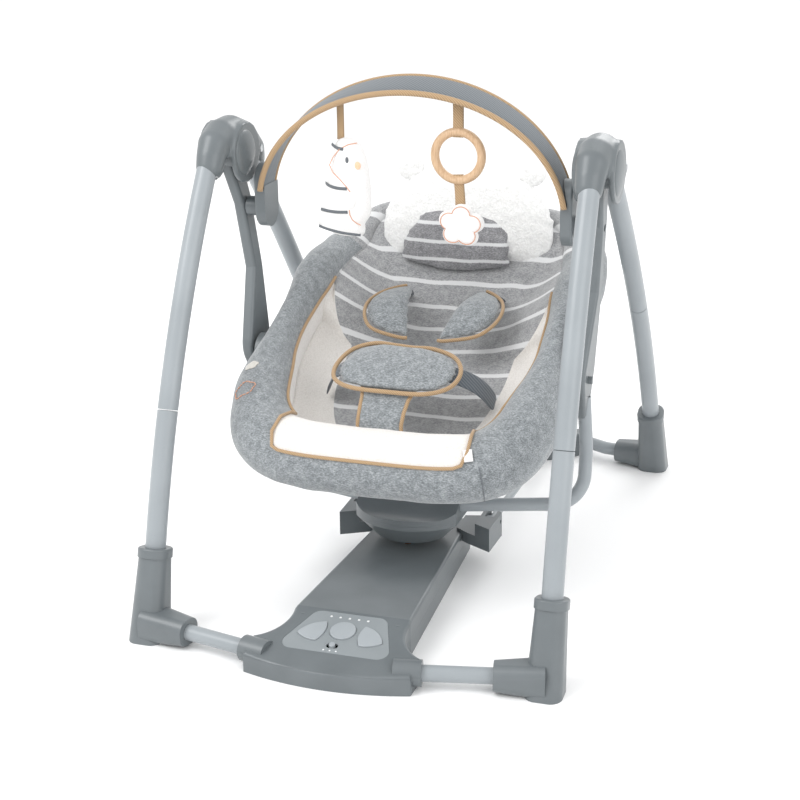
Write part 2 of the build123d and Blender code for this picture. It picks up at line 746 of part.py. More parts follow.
with BuildSketch(SEAT) as rim_plan:
    with Locations((0, (RIM_FRONT + RIM_BACK) / 2)):
        RectangleRounded(2 * RIM_X, RIM_BACK - RIM_FRONT, RIM_CORNER)
rim_wire = rim_plan.sketch.faces()[0].outer_wire()

seat_frame = swept(rim_wire, FRAME_TUBE_R, TUBE_WALL)
save(seat_frame, "seat_frame")
frame_room = swept(rim_wire, FRAME_TUBE_R + 0.1)

with BuildPart() as recline_hubs:
    for _, sign in SIDES:
        with BuildSketch(side_plane(sign * SEAT_ARM_X)):
            with Locations(RECLINE):
                Circle(26)
        extrude(amount=-sign * 8)
        with BuildSketch(side_plane(sign * SEAT_ARM_X)):
            with Locations(RECLINE):
                Circle(5)
        extrude(amount=sign * 24)
        with BuildSketch(side_plane(sign * (SEAT_ARM_X - 8))):
            with Locations(RECLINE):
                Rectangle(30, 20)
        extrude(amount=-sign * 22)
    add(frame_room.part, mode=Mode.SUBTRACT)
save(recline_hubs, "recline_hubs")

with BuildPart() as seat_bolster:
    with BuildSketch(Plane(origin=rim_wire @ 0, x_dir=SEAT.z_dir, z_dir=rim_wire % 0)):
        Ellipse(*BOLSTER)
    sweep(path=rim_wire)
    with BuildSketch(SEAT.offset(-80)):
        with Locations((0, BOLSTER_END + 100)):
            Rectangle(600, 200)
    extrude(amount=160, mode=Mode.SUBTRACT)
    add(frame_room.part, mode=Mode.SUBTRACT)
    for _, sign in SIDES:
        with BuildSketch(side_plane(sign * 210)):
            with Locations(RECLINE):
                Circle(32)
        extrude(amount=sign * 20, mode=Mode.SUBTRACT)
        with BuildSketch(side_plane(sign * 186)):
            with Locations(RECLINE):
                Rectangle(31, 21)
        extrude(amount=sign * 30, mode=Mode.SUBTRACT)
save(seat_bolster, "seat_bolster")

with BuildPart() as seat_sling:
    with BuildSketch(side_plane(0)):
        with BuildLine():
            FilletPolyline(
                (-110, 190), (-90, 186), (-55, 199), (66, 249),
                (184, 302), (262, 338), (296, 382), (306, 414),
                radius=(12, 30, 60, 60, 30, 20),
            )
        trace(line_width=4)
    extrude(amount=118, both=True)
save(seat_sling, "seat_sling")

with BuildPart() as seat_liner:
    with BuildSketch(side_plane(0)):
        with BuildLine():
            FilletPolyline(
                (-106, 204), (-86, 199), (-57, 210.5), (62, 260), (180, 313), (236, 340),
                radius=(12, 30, 60, 60),
            )
        trace(line_width=11)
    extrude(amount=108, both=True)
save(seat_liner, "seat_liner")

PANEL_RUN = (-112.0, 190.0)
with BuildPart() as side_panels:
    for _, sign in SIDES:
        with BuildSketch(Plane(
            origin=seat_point(0, PANEL_RUN[1], 0), x_dir=(1, 0, 0),
            z_dir=(0, -cos(radians(SEAT_SLOPE)), -sin(radians(SEAT_SLOPE))),
        )):
            Polygon(
                (sign * 111, -47), (sign * 122, -51), (sign * 159, -14), (sign * 154, 0),
                align=None,
            )
        extrude(amount=PANEL_RUN[1] - PANEL_RUN[0])
save(side_panels, "side_panels")

PILLOW_LEAN = atan2(40, 200)
pillow_plane = Plane(
    origin=at(0, 274, 442), x_dir=(1, 0, 0), z_dir=(0, -cos(PILLOW_LEAN), sin(PILLOW_LEAN))
)
with BuildPart() as head_pillow:
    with BuildSketch(pillow_plane):
        RectangleRounded(268, 154, 60)
    extrude(amount=20, both=True)
    fillet(head_pillow.edges().filter_by(lambda e: abs(pillow_plane.to_local_coords(e.center()).Z) > 19), 14)
save(head_pillow, "head_pillow")

LAP_PAD = seat_point(0, -92, 40)
with BuildPart() as waist_pad:
    with BuildSketch(Plane(origin=LAP_PAD, x_dir=(1, 0, 0), z_dir=(0, -0.3, 0.954))):
        Ellipse(84, 40)
    extrude(amount=9, both=True)
    fillet(waist_pad.edges().filter_by(lambda e: e.length > 100), 6)
save(waist_pad, "waist_pad")

with BuildPart() as shoulder_pads:
    for _, sign in SIDES:
        low = Vector(*seat_point(sign * 28, -12, 26))
        high = Vector(*seat_point(sign * 72, 86, -8))
        along = (high - low).normalized()
        facing = SEAT.z_dir - along * SEAT.z_dir.dot(along)
        with BuildSketch(Plane(origin=(low + high) / 2, x_dir=along, z_dir=facing)):
            RectangleRounded((high - low).length, 40, 18)
        extrude(amount=6, both=True)
save(shoulder_pads, "shoulder_pads")

WEB = (24.0, 2.0)  # webbing, width and thickness


def strap(start, end, width, thick):
    """A flat strap between two points, lying in the seat's plane."""
    low, high = Vector(*start), Vector(*end)
    along = (high - low).normalized()
    facing = SEAT.z_dir - along * SEAT.z_dir.dot(along)
    with BuildPart() as made:
        with BuildSketch(Plane(origin=(low + high) / 2, x_dir=along, z_dir=facing)):
            Rectangle((high - low).length, width)
        extrude(amount=thick / 2, both=True)
    return made


with BuildPart() as harness_straps:
    for _, sign in SIDES:
        add(strap(seat_point(sign * 92, -84, 32), seat_point(sign * 104, -40, -33), *WEB).part)
        add(strap(seat_point(sign * 76, 90, -10), seat_point(sign * 88, 118, -36), *WEB).part)
    add(strap(seat_point(0, -184, 20), seat_point(0, -142, 29), 52, 9).part)
save(harness_straps, "harness_straps")

# ---- toy bar ----
ARCH = (210.0, 170.0)
ARCH_Z = TOY_TOP - ARCH[1]
BAR_THICK, BAR_DEEP = 8.0, 50.0
BAR_FOOT = 520.0
bar_plane = Plane(origin=at(0, TOY_PLANE + BAR_DEEP / 2, ARCH_Z), x_dir=(1, 0, 0), z_dir=(0, -1, 0))


def arch(outer, inner, low):
    """The upper part of an elliptical band, in the bar's plane."""
    with BuildSketch(Plane.XY) as band:
        Ellipse(*outer)
        Ellipse(*inner, mode=Mode.SUBTRACT)
        with Locations((0, low - 300)):
            Rectangle(600, 600, mode=Mode.SUBTRACT)
    return band.sketch


with BuildPart() as toy_bar:
    with BuildSketch(bar_plane):
        add(arch(ARCH, (ARCH[0] - BAR_THICK, ARCH[1] - BAR_THICK), BAR_FOOT - ARCH_Z))
    extrude(amount=BAR_DEEP)
save(toy_bar, "toy_bar")

with BuildPart() as toy_clips:
    for _, sign in SIDES:
        with BuildSketch(side_plane(sign * 214.5)):
            with Locations((TOY_PIN[0] - 4, 509)):
                SlotOverall(86, 46, rotation=90)
        extrude(amount=-sign * 15)
        fillet(toy_clips.faces().sort_by(Axis.X)[0 if sign < 0 else -1].edges(), 3)
        with BuildSketch(side_plane(sign * 213)):
            with Locations(TOY_PIN):
                Circle(13)
        extrude(amount=sign * 21.2)
        with BuildSketch(side_plane(sign * 213)):
            with Locations(TOY_PIN):
                Circle(5)
        extrude(amount=sign * 32)
    outer = (ARCH[0] + 0.15, ARCH[1] + 0.15)
    inner = (ARCH[0] - BAR_THICK - 0.15, ARCH[1] - BAR_THICK - 0.15)
    with BuildSketch(bar_plane.offset(-4)):
        add(arch(outer, inner, BAR_FOOT - ARCH_Z - 0.2))
    extrude(amount=BAR_DEEP + 8, mode=Mode.SUBTRACT)
save(toy_clips, "toy_clips")


def bar_under(x):
    """Height of the bar's underside at a place along it."""
    a, b = ARCH[0] - BAR_THICK, ARCH[1] - BAR_THICK
    return ARCH_Z + b * (1 - (x / a) ** 2) ** 0.5


ANIMAL_X, RING_X = -96.0, 61.0
ANIMAL_Z = 524.0
TOY_RING_Z, TOY_RING_R = 574.0, 31.0
CLOUD_Z = 486.0


def hanger(x, low, width):
    """A flat ribbon hanging from the bar's underside."""
    top = bar_under(x) - 4
    with BuildPart() as ribbon:
        with BuildSketch(floor_plane(low)):
            with Locations((x, TOY_PLANE)):
                Rectangle(width, 2)
        extrude(amount=top - low)
    return ribbon


with BuildPart() as toy_animal:
    with BuildSketch(Plane(origin=at(ANIMAL_X, TOY_PLANE, ANIMAL_Z), x_dir=(1, 0, 0), z_dir=(0, -1, 0))):
        with Locations((0, -24)):
            Ellipse(34, 40)
        with Locations((-2, 32)):
            Ellipse(25, 34)
    extrude(amount=19, both=True)
    add(hanger(ANIMAL_X, ANIMAL_Z + 60, 14).part)
save(toy_animal, "toy_animal")

with BuildPart() as toy_ring:
    with BuildSketch(floor_plane(TOY_RING_Z)):
        with Locations((RING_X + TOY_RING_R, TOY_PLANE)):
            Circle(6)
    revolve(axis=Axis(at(RING_X, TOY_PLANE, TOY_RING_Z), (0, 1, 0)))
    add(hanger(RING_X, TOY_RING_Z + TOY_RING_R + 3, 14).part)
save(toy_ring, "toy_ring")

with BuildPart() as toy_cloud:
    with BuildSketch(Plane(origin=at(RING_X + 3, TOY_PLANE, CLOUD_Z), x_dir=(1, 0, 0), z_dir=(0, -1, 0))):
        for x, z, radius in ((-17, -5, 13), (17, -5, 13), (-9, 10, 13), (10, 10, 13), (0, -8, 16)):
            with Locations((x, z)):
                Circle(radius)
    extrude(amount=9, both=True)
    with BuildSketch(floor_plane(CLOUD_Z + 18)):
        with Locations((RING_X, TOY_PLANE)):
            Rectangle(14, 2)
    extrude(amount=TOY_RING_Z - TOY_RING_R - 6.5 - CLOUD_Z - 18)
save(toy_cloud, "toy_cloud")
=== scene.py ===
# %% [markdown]
# # A powered baby swing
# The load-bearing parts, such as legs, feet, base and swing arms, come ready made from the engineering
# model. Blender adds what that model cannot show: cloth, stuffing, piping, stitches and real finishes.
# The first cell loads that model, with each part left at its place and size.

# %% Load the frame
import json
import math
import bmesh
import bpy
import numpy as np
from mathutils import Matrix, Vector, noise


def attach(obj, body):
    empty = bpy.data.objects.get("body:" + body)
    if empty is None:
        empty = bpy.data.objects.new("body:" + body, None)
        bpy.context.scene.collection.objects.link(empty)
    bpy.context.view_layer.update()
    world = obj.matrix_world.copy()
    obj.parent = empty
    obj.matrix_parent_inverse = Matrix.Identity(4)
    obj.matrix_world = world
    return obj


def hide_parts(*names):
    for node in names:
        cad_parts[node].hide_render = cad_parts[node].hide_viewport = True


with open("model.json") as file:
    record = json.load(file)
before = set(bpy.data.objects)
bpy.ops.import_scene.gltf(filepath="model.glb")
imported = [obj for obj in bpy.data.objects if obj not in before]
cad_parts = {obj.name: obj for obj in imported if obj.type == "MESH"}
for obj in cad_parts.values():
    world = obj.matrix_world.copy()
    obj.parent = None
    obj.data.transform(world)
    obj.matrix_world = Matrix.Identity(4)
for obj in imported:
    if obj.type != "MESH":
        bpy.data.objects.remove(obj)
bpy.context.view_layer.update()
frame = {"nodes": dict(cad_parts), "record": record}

nodes = frame["nodes"]
scene = bpy.context.scene

# %% [markdown]
# The frame is in metres, with its origin on the floor. A maker thinks in millimetres from the swing axis,
# so two small functions turn such places into points: one for the whole swing, one for its sloping seat.

# %% Places
MM = 0.001
SEAT_SLOPE = math.radians(24.4)
SEAT_ALONG = Vector((0, math.cos(SEAT_SLOPE), math.sin(SEAT_SLOPE)))
SEAT_UP = Vector((0, -math.sin(SEAT_SLOPE), math.cos(SEAT_SLOPE)))


def at(x, y, z):
    """A point from millimetres to the side, behind the swing axis and above the floor."""
    return Vector((x, y - 80, z)) * MM


def seat_point(across, along, above):
    """A point from millimetres across the seat, along it from its middle, and above its rim."""
    return at(across, 45, 309) + (SEAT_ALONG * along + SEAT_UP * above) * MM


def ease(value, start, end):
    """0 before start, 1 after end, and smooth between them."""
    share = min(1.0, max(0.0, (value - start) / (end - start)))
    return share * share * (3 - 2 * share)


def full_turn(count):
    """Evenly spaced angles round a whole turn."""
    return np.linspace(0, 2 * math.pi, count, endpoint=False)


print("seat middle, m:", [round(c, 3) for c in seat_point(0, 0, 0)])

# %% [markdown]
# Colours are written as sRGB hex, the way a paint chart gives them, and shaders want linear light.
# A material here is a few linked nodes, so one function adds any node: its settings, then its inputs.
# Patterns read object coordinates, which are metres on these pieces, so a real spacing sets each scale.

# %% Colour and node helpers
def linear(hex_colour):
    """An sRGB hex colour as linear RGBA."""
    parts = [int(hex_colour[k:k + 2], 16) / 255 for k in (1, 3, 5)]
    return (*(c / 12.92 if c <= 0.04045 else ((c + 0.055) / 1.055) ** 2.4 for c in parts), 1.0)


def add_node(tree, kind, settings=None, stops=None, **inputs):
    """One node with its settings, its ramp stops, and its inputs by name or by number, as in i0."""
    made = tree.nodes.new(kind)
    for name, value in (settings or {}).items():
        setattr(made, name, value)
    if stops:
        while len(made.color_ramp.elements) < len(stops):
            made.color_ramp.elements.new(1.0)
        for element, (place, colour) in zip(made.color_ramp.elements, stops):
            element.position = place
            element.color = linear(colour)
    for name, value in inputs.items():
        socket = made.inputs[int(name[1:])] if name[1:].isdigit() else made.inputs[name.replace("_", " ")]
        if isinstance(value, bpy.types.NodeSocket):
            tree.links.new(value, socket)
        else:
            socket.default_value = value
    return made


def new_finish(name, roughness=0.5, metallic=0.0, **settings):
    """A material with its shader's plain settings made, and its tree, shader and place socket."""
    material = bpy.data.materials.new(name)
    material.use_nodes = True
    tree = material.node_tree
    shader = tree.nodes["Principled BSDF"]
    shader.inputs["Roughness"].default_value = roughness
    shader.inputs["Metallic"].default_value = metallic
    for key, value in settings.items():
        shader.inputs[key.replace("_", " ")].default_value = value
    place = add_node(tree, "ShaderNodeTexCoord").outputs["Object"]
    return material, tree, shader, place


# %% [markdown]
# Hard finishes first. Moulded plastic has a fine spark-eroded grain and goes faintly uneven in colour.
# Powder coat on steel tube lies in tiny orange-peel waves and is satin. Both need only two noises: a
# slow one for the colour and a fine one for the bump, with feature sizes in millimetres.

# %% Hard finishes
def coated(name, light, dark, grain_mm, bump, roughness, metallic=0.0, patch_mm=60, **settings):
    """A hard finish whose colour drifts slowly between two tones over a fine surface grain."""
    material, tree, shader, place = new_finish(name, roughness, metallic, **settings)
    patches = add_node(tree, "ShaderNodeTexNoise", Vector=place, Scale=1000 / patch_mm, Detail=3.0)
    tone = add_node(tree, "ShaderNodeValToRGB", stops=[(0.35, dark), (0.65, light)],
                    Fac=patches.outputs["Fac"])
    grain = add_node(tree, "ShaderNodeTexNoise", Vector=place, Scale=1000 / grain_mm, Detail=2.0)
    relief = add_node(tree, "ShaderNodeBump", Strength=bump, Distance=0.0004, Height=grain.outputs["Fac"])
    shine = add_node(tree, "ShaderNodeMapRange", Value=grain.outputs["Fac"],
                     To_Min=max(0.0, roughness - 0.06), To_Max=roughness + 0.06)
    tree.links.new(tone.outputs["Color"], shader.inputs["Base Color"])
    tree.links.new(relief.outputs["Normal"], shader.inputs["Normal"])
    tree.links.new(shine.outputs["Result"], shader.inputs["Roughness"])
    return material


# ABS, injection moulded with a fine texture: soft highlights, no sharp reflections
slate_abs = coated("slate_ABS_moulded", "#6a7073", "#63696c", 0.9, 0.12, 0.33, IOR=1.53)
# the same plastic in the lighter shade used for the control keys
key_abs = coated("key_ABS_moulded", "#a2a8ac", "#9ba1a5", 0.8, 0.1, 0.38, IOR=1.53)
inlay_abs = coated("inlay_ABS_satin", "#8d9396", "#878d90", 0.8, 0.1, 0.36, IOR=1.53)
# powder-coated steel tube: satin, with the waves of baked powder
tube_coat = coated("silver_powder_coat", "#979da1", "#90969a", 1.6, 0.08, 0.3, patch_mm=90)
# dipped black enamel on the hidden seat frame
black_enamel = coated("black_enamel", "#1c1d1f", "#17181a", 2.0, 0.1, 0.3)
# zinc-plated pins and screws, bright and slightly milky
zinc = coated("zinc_plated_steel", "#c9ccce", "#b4b8bb", 1.2, 0.1, 0.3, metallic=1.0, patch_mm=8)
nylon = coated("nylon_bush", "#e4e2da", "#dcd9d0", 1.0, 0.1, 0.45)
copper = coated("enamelled_copper_wire", "#b5683a", "#a35a30", 0.6, 0.3, 0.3, metallic=1.0, patch_mm=5)
ferrite = coated("ferrite_magnet", "#3a3b3d", "#323335", 0.8, 0.25, 0.55)
laminate = coated("glass_epoxy_board", "#2f6a45", "#2a5f3e", 0.7, 0.15, 0.35)
cone_paper = coated("pressed_paper_cone", "#2e2c2a", "#262422", 0.5, 0.4, 0.8)
cell_wrap = coated("shrink_wrap_cell", "#3f4a58", "#394451", 3.0, 0.05, 0.25)
print("hard finishes:", len(bpy.data.materials))

# %% [markdown]
# Cloth scatters light off thousands of fibres. Heather jersey is knitted from yarn spun of light and dark
# fibres, so its colour is specks drawn out along the yarn. Terry is a pile of loops, fleece a matted pile.
# Sheen gives the pale edge that all of them show. The specks are drawn a little coarser than real.

# %% Cloth finishes
def knitted(name, dark, mid, light, speck_mm=1.3, relief_mm=0.5):
    """Heather jersey: dark and light fibres in short horizontal dashes over a faint knit."""
    material, tree, shader, place = new_finish(name, 0.92, Sheen_Weight=0.35, Sheen_Roughness=0.5)
    drawn = add_node(tree, "ShaderNodeMapping", Vector=place, Scale=(0.45, 1.0, 1.0))
    fibres = add_node(tree, "ShaderNodeTexNoise", Vector=drawn.outputs["Vector"],
                      Scale=1000 / speck_mm, Detail=3.0, Roughness=0.7)
    clouds = add_node(tree, "ShaderNodeTexNoise", Vector=place, Scale=1000 / 9, Detail=4.0)
    both = add_node(tree, "ShaderNodeMath", {"operation": "MULTIPLY_ADD"}, i0=clouds.outputs["Fac"],
                    i1=0.35, i2=fibres.outputs["Fac"])
    tone = add_node(tree, "ShaderNodeValToRGB", stops=[(0.50, dark), (0.66, mid), (0.86, light)],
                    Fac=both.outputs["Value"])
    bump = add_node(tree, "ShaderNodeBump", Strength=0.55, Distance=relief_mm * MM,
                    Height=fibres.outputs["Fac"])
    tree.links.new(tone.outputs["Color"], shader.inputs["Base Color"])
    tree.links.new(bump.outputs["Normal"], shader.inputs["Normal"])
    return material, tree, shader, place, tone


def piled(name, shade, white, loop_mm, relief_mm):
    """Terry or fleece: round tufts with shaded gaps between them."""
    material, tree, shader, place = new_finish(name, 0.95, Sheen_Weight=0.6, Sheen_Roughness=0.6)
    wander = add_node(tree, "ShaderNodeTexNoise", Vector=place, Scale=1000 / (loop_mm * 2.5), Detail=3.0)
    bent = add_node(tree, "ShaderNodeVectorMath", {"operation": "MULTIPLY_ADD"}, i0=wander.outputs["Color"],
                    i1=(loop_mm * 0.002,) * 3, i2=place)
    loops = add_node(tree, "ShaderNodeTexVoronoi", {"feature": "SMOOTH_F1"}, Vector=bent.outputs["Vector"],
                     Scale=1000 / loop_mm, Smoothness=0.6)
    tone = add_node(tree, "ShaderNodeValToRGB", stops=[(0.1, white), (0.75, shade)],
                    Fac=loops.outputs["Distance"])
    bump = add_node(tree, "ShaderNodeBump", {"invert": True}, Strength=0.7, Distance=relief_mm * MM,
                    Height=loops.outputs["Distance"])
    tree.links.new(tone.outputs["Color"], shader.inputs["Base Color"])
    tree.links.new(bump.outputs["Normal"], shader.inputs["Normal"])
    return material


def twilled(name, light, dark, rib_mm, roughness=0.85):
    """A close twill: slanting ribs of two tones of one yarn."""
    material, tree, shader, place = new_finish(name, roughness, Sheen_Weight=0.25, Sheen_Roughness=0.5)
    ribs = add_node(tree, "ShaderNodeTexWave", {"bands_direction": "DIAGONAL"}, Vector=place,
                    Scale=1000 / rib_mm / 6.28, Distortion=1.5, Detail=2.0)
    tone = add_node(tree, "ShaderNodeValToRGB", stops=[(0.1, dark), (0.8, light)], Fac=ribs.outputs["Fac"])
    bump = add_node(tree, "ShaderNodeBump", Strength=0.4, Distance=0.0003, Height=ribs.outputs["Fac"])
    tree.links.new(tone.outputs["Color"], shader.inputs["Base Color"])
    tree.links.new(bump.outputs["Normal"], shader.inputs["Normal"])
    return material


heather = knitted("heather_jersey", "#62676a", "#7f8487", "#a6aaad")[0]
terry = piled("white_terry", "#d6d2cd", "#e6e3df", 1.7, 0.7)
fleece = piled("white_sherpa_fleece", "#e2e2e1", "#f2f2f1", 3.0, 1.4)
velour = piled("white_velour", "#e4e3e2", "#f1f0ef", 1.1, 0.3)
piping_twill = twilled("tan_twill_binding", "#b59a77", "#96795a", 0.9)
webbing = twilled("grey_polyester_webbing", "#666d74", "#4e555c", 1.6)
sling_cloth = twilled("grey_sling_cloth", "#8d9297", "#7c8186", 1.4)
bar_mesh = twilled("grey_bar_mesh", "#70767b", "#555b60", 1.3)
thread_grey = twilled("grey_thread", "#6a6f74", "#5a5f64", 0.6)
thread_peach = twilled("peach_thread", "#d9a488", "#c98f73", 0.6)
thread_silver = twilled("silver_thread", "#d8d5ce", "#b9b5ad", 0.5, 0.45)
felt_peach = piled("peach_felt", "#e6b48f", "#f2caa9", 1.0, 0.2)
print("cloth finishes made, materials now:", len(bpy.data.materials))

# %% [markdown]
# The liner and the pillow's middle are the same jersey knitted with white stripes. The stripes run from
# side to side at a fixed spacing along the cloth, so their place comes from one dot product with the
# direction up the cloth, folded by a modulo. A little noise on that distance makes them waver like knit.

# %% Striped jersey
def striped(name, along, pitch_mm, stripe_mm, shift_mm, ground, wander_mm=1.2):
    """Heather jersey with knitted white stripes, pitch_mm apart in the direction given."""
    material, tree, shader, place, tone = knitted(name, *ground)
    run = add_node(tree, "ShaderNodeVectorMath", {"operation": "DOT_PRODUCT"}, i0=place, i1=tuple(along))
    sway = add_node(tree, "ShaderNodeTexNoise", Vector=place, Scale=1000 / 70, Detail=1.0)
    moved = add_node(tree, "ShaderNodeMath", {"operation": "MULTIPLY_ADD"}, i0=sway.outputs["Fac"],
                     i1=wander_mm * 6 * MM, i2=run.outputs["Value"])
    fuzz = add_node(tree, "ShaderNodeTexNoise", Vector=place, Scale=1000 / 1.6, Detail=1.0)
    rough_edge = add_node(tree, "ShaderNodeMath", {"operation": "MULTIPLY_ADD"}, i0=fuzz.outputs["Fac"],
                          i1=1.6 * MM, i2=moved.outputs["Value"])
    placed = add_node(tree, "ShaderNodeMath", {"operation": "ADD"}, i0=rough_edge.outputs["Value"],
                      i1=shift_mm * MM)
    folded = add_node(tree, "ShaderNodeMath", {"operation": "PINGPONG"}, i0=placed.outputs["Value"],
                      i1=pitch_mm * MM / 2)
    edge = add_node(tree, "ShaderNodeMapRange", Value=folded.outputs["Value"],
                    From_Min=(stripe_mm / 2 - 0.5) * MM, From_Max=(stripe_mm / 2 + 0.5) * MM)
    mixed = add_node(tree, "ShaderNodeMix", {"data_type": "RGBA"}, i0=edge.outputs["Result"],
                     i6=linear("#d9dadb"), i7=tone.outputs["Color"])
    tree.links.new(mixed.outputs[2], shader.inputs["Base Color"])
    return material


warm_ground = ("#7c7d7f", "#98999b", "#b6b7b8")
liner_stripe = striped("striped_liner_jersey", SEAT_ALONG, 44, 7.5, 27.8, warm_ground)
cool_ground = ("#6f6f72", "#858588", "#a9a9ab")
pillow_stripe = striped("striped_pillow_jersey", Vector((0, 0, 1)), 26, 5, 5, cool_ground)

# %% [markdown]
# Every part that came with the frame now gets its finish. Each one has a named slot in the record, and a
# table from slot to finish does the rest. Hidden parts, such as cells and coil, are finished as well.

# %% Finish the frame's own parts
slot_finish = {
    "slate_plastic": slate_abs, "silver_tube": tube_coat, "dark_steel": black_enamel, "bright_steel": zinc,
    "bush_nylon": nylon, "key_plastic": key_abs, "cell_jacket": cell_wrap, "board_laminate": laminate,
    "speaker_paper": cone_paper, "coil_copper": copper, "magnet_iron": ferrite, "heather_fabric": heather,
    "terry_fabric": terry, "liner_fabric": liner_stripe, "sling_fabric": sling_cloth, "webbing": webbing,
    "arch_fabric": bar_mesh, "plush_white": velour,
}
slot_of = {part["node"]: part["material_slot"] for part in frame["record"]["subparts"]}
for name, made in nodes.items():
    made.data.materials.clear()
    made.data.materials.append(slot_finish.get(slot_of[name], velour))
    edges_smooth = made.modifiers.new("smooth by angle", "WEIGHTED_NORMAL")
    edges_smooth.keep_sharp = True
nodes["control_panel"].data.materials[0] = inlay_abs
print("parts finished:", len(nodes))

# %% [markdown]
# Most cloth pieces here are rings of points joined into a skin: a ring round the seat's rim, or rings
# round a cushion. One function builds the skin from its rings and gives each band its finish. A second
# one lays a round cord along a line of points, for piping, stitches and ribbons' edges.

# %% Skins and cords
def skin(name, rings, finishes, bands=None, loop=False, caps=True):
    """A mesh through rings of equally many points; bands gives each band's finish number."""
    count = len(rings[0])
    points = [tuple(p) for ring in rings for p in ring]
    faces, marks = [], []
    for k in range(len(rings) if loop else len(rings) - 1):
        low, high = k * count, ((k + 1) % len(rings)) * count
        for j in range(count):
            n = (j + 1) % count
            faces.append((low + j, low + n, high + n, high + j))
            marks.append(bands[k] if bands else 0)
    if caps and not loop:
        for ring_index, flip in ((0, True), (len(rings) - 1, False)):
            middle = len(points)
            ring = [Vector(p) for p in rings[ring_index]]
            points.append(tuple(sum(ring, Vector()) / count))
            for j in range(count):
                a, b = ring_index * count + j, ring_index * count + (j + 1) % count
                faces.append((b, a, middle) if flip else (a, b, middle))
                marks.append((bands[0] if flip else bands[-1]) if bands else 0)
    mesh = bpy.data.meshes.new(name)
    mesh.from_pydata(points, [], faces)
    for finish in finishes:
        mesh.materials.append(finish)
    mesh.polygons.foreach_set("material_index", marks)
    mesh.polygons.foreach_set("use_smooth", [True] * len(faces))
    mesh.update()
    made = bpy.data.objects.new(name, mesh)
    scene.collection.objects.link(made)
    return made


def laid_cord(name, points, radius_mm, finish, closed=False):
    """A round cord through a line of points."""
    line = bpy.data.curves.new(name, "CURVE")
    line.dimensions = "3D"
    spline = line.splines.new("POLY")
    spline.points.add(len(points) - 1)
    for target, point in zip(spline.points, points):
        target.co = (*point, 1.0)
    spline.use_cyclic_u = closed
    line.bevel_depth = radius_mm * MM
    line.bevel_resolution = 3
    line.use_fill_caps = True
    line.materials.append(finish)
    made = bpy.data.objects.new(name, line)
    scene.collection.objects.link(made)
    return made


def subdivided(made, levels=1):
    """The piece with a subdivision surface over it."""
    smooth = made.modifiers.new("rounded", "SUBSURF")
    smooth.levels = smooth.render_levels = levels
    return made


# %% [markdown]
# The seat's rim is a stuffed roll on a hidden tube: heather outside, white terry inside, and tan piping
# on the line between. Seen from above the rim is a squared oval. Its section is an ellipse that is slim
# at the sides, deep at the knees, and thin where it runs round behind the head. The piping climbs from
# the inner face at the sides, over the crest at the front corners, to the outer face of the knee roll.

# %% The rim's line and section
RIM_COUNT = 192


def squared_oval(half, middle, reach, power, angle):
    """A point of a squared-off oval: across and along the seat, mm."""
    c, s = math.cos(angle), math.sin(angle)
    return (half * math.copysign(abs(c) ** (2 / power), c),
            middle + reach * math.copysign(abs(s) ** (2 / power), s))


fine = [2 * math.pi * k / 4096 for k in range(4097)]
rim_fine = np.array([squared_oval(189, 41, 259, 4.5, a) for a in fine])
run = np.concatenate([[0], np.cumsum(np.hypot(*np.diff(rim_fine, axis=0).T))])
rim_angles = np.interp(np.linspace(0, run[-1], RIM_COUNT, endpoint=False), run, fine)
rim_line = [squared_oval(189, 41, 259, 4.5, a) for a in rim_angles]
print("rim length, mm:", round(float(run[-1])))


def rim_section(k):
    """Half thickness, half height, middle height and piping angle of the roll at a rim point, mm."""
    u, v = rim_line[k % RIM_COUNT]
    front = ease(-v, 130, 212)
    back = ease(v, 225, 292)
    wide = 23 + 10 * ease(v, 10, 140) + 16 * ease(-v, 10, 130) + 6 * front - 17 * back
    tall = 45 - 3 * front - 18 * ease(v, 110, 235) - 9 * back
    middle = -4 - 3 * front - 14 * ease(v, 110, 225) * (1 - ease(v, 255, 290)) + 4 * back
    piping = 20 + 112 * ease(-abs(u), -150, -112) * (1 if v < 0 else 0)
    return wide, tall, middle, piping


def rim_point(k, angle, proud=0.0):
    """A point on the roll: angle 0 faces the seat's middle, 90 is the crest, 180 faces out."""
    u, v = rim_line[k % RIM_COUNT]
    u0, v0 = rim_line[(k - 1) % RIM_COUNT]
    u1, v1 = rim_line[(k + 1) % RIM_COUNT]
    out = Vector((v1 - v0, u0 - u1)).normalized()
    wide, tall, middle, _ = rim_section(k)
    a = math.radians(angle)
    across = -(wide + proud) * math.cos(a)
    above = middle + (tall + proud) * math.sin(a)
    here = seat_point(u + out.x * across, v + out.y * across, above)
    ripple = noise.noise(here * 26) * 1.6 + noise.noise(here * 60) * 0.5
    return here + (here - seat_point(u, v, middle)).normalized() * ripple * MM


TERRY_ROWS, HEATHER_ROWS = 14, 30
rim_rings = []
for k in range(RIM_COUNT):
    piping = rim_section(k)[3]
    terry_angles = [-70 + (piping + 70) * j / TERRY_ROWS for j in range(TERRY_ROWS)]
    heather_angles = [piping + (290 - piping) * j / HEATHER_ROWS for j in range(HEATHER_ROWS)]
    rim_rings.append([rim_point(k, a) for a in terry_angles + heather_angles])
rim_roll = skin("rim_roll", rim_rings, [heather, terry, liner_stripe], loop=True)
for face in rim_roll.data.polygons:
    ring_index, row = divmod(face.index, TERRY_ROWS + HEATHER_ROWS)
    if row < TERRY_ROWS:
        face.material_index = 1 if rim_line[ring_index][1] < 112 else 2
    elif rim_line[ring_index][1] > 222:
        face.material_index = 2
subdivided(rim_roll)
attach(rim_roll, "seat")
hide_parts("seat_bolster")
print("rim roll points:", len(rim_roll.data.vertices))

# %% [markdown]
# Piping is a cord in a bias-cut cover, sewn into the seam. It runs from behind one hip round the knees
# to the other, where the terry starts and stops.

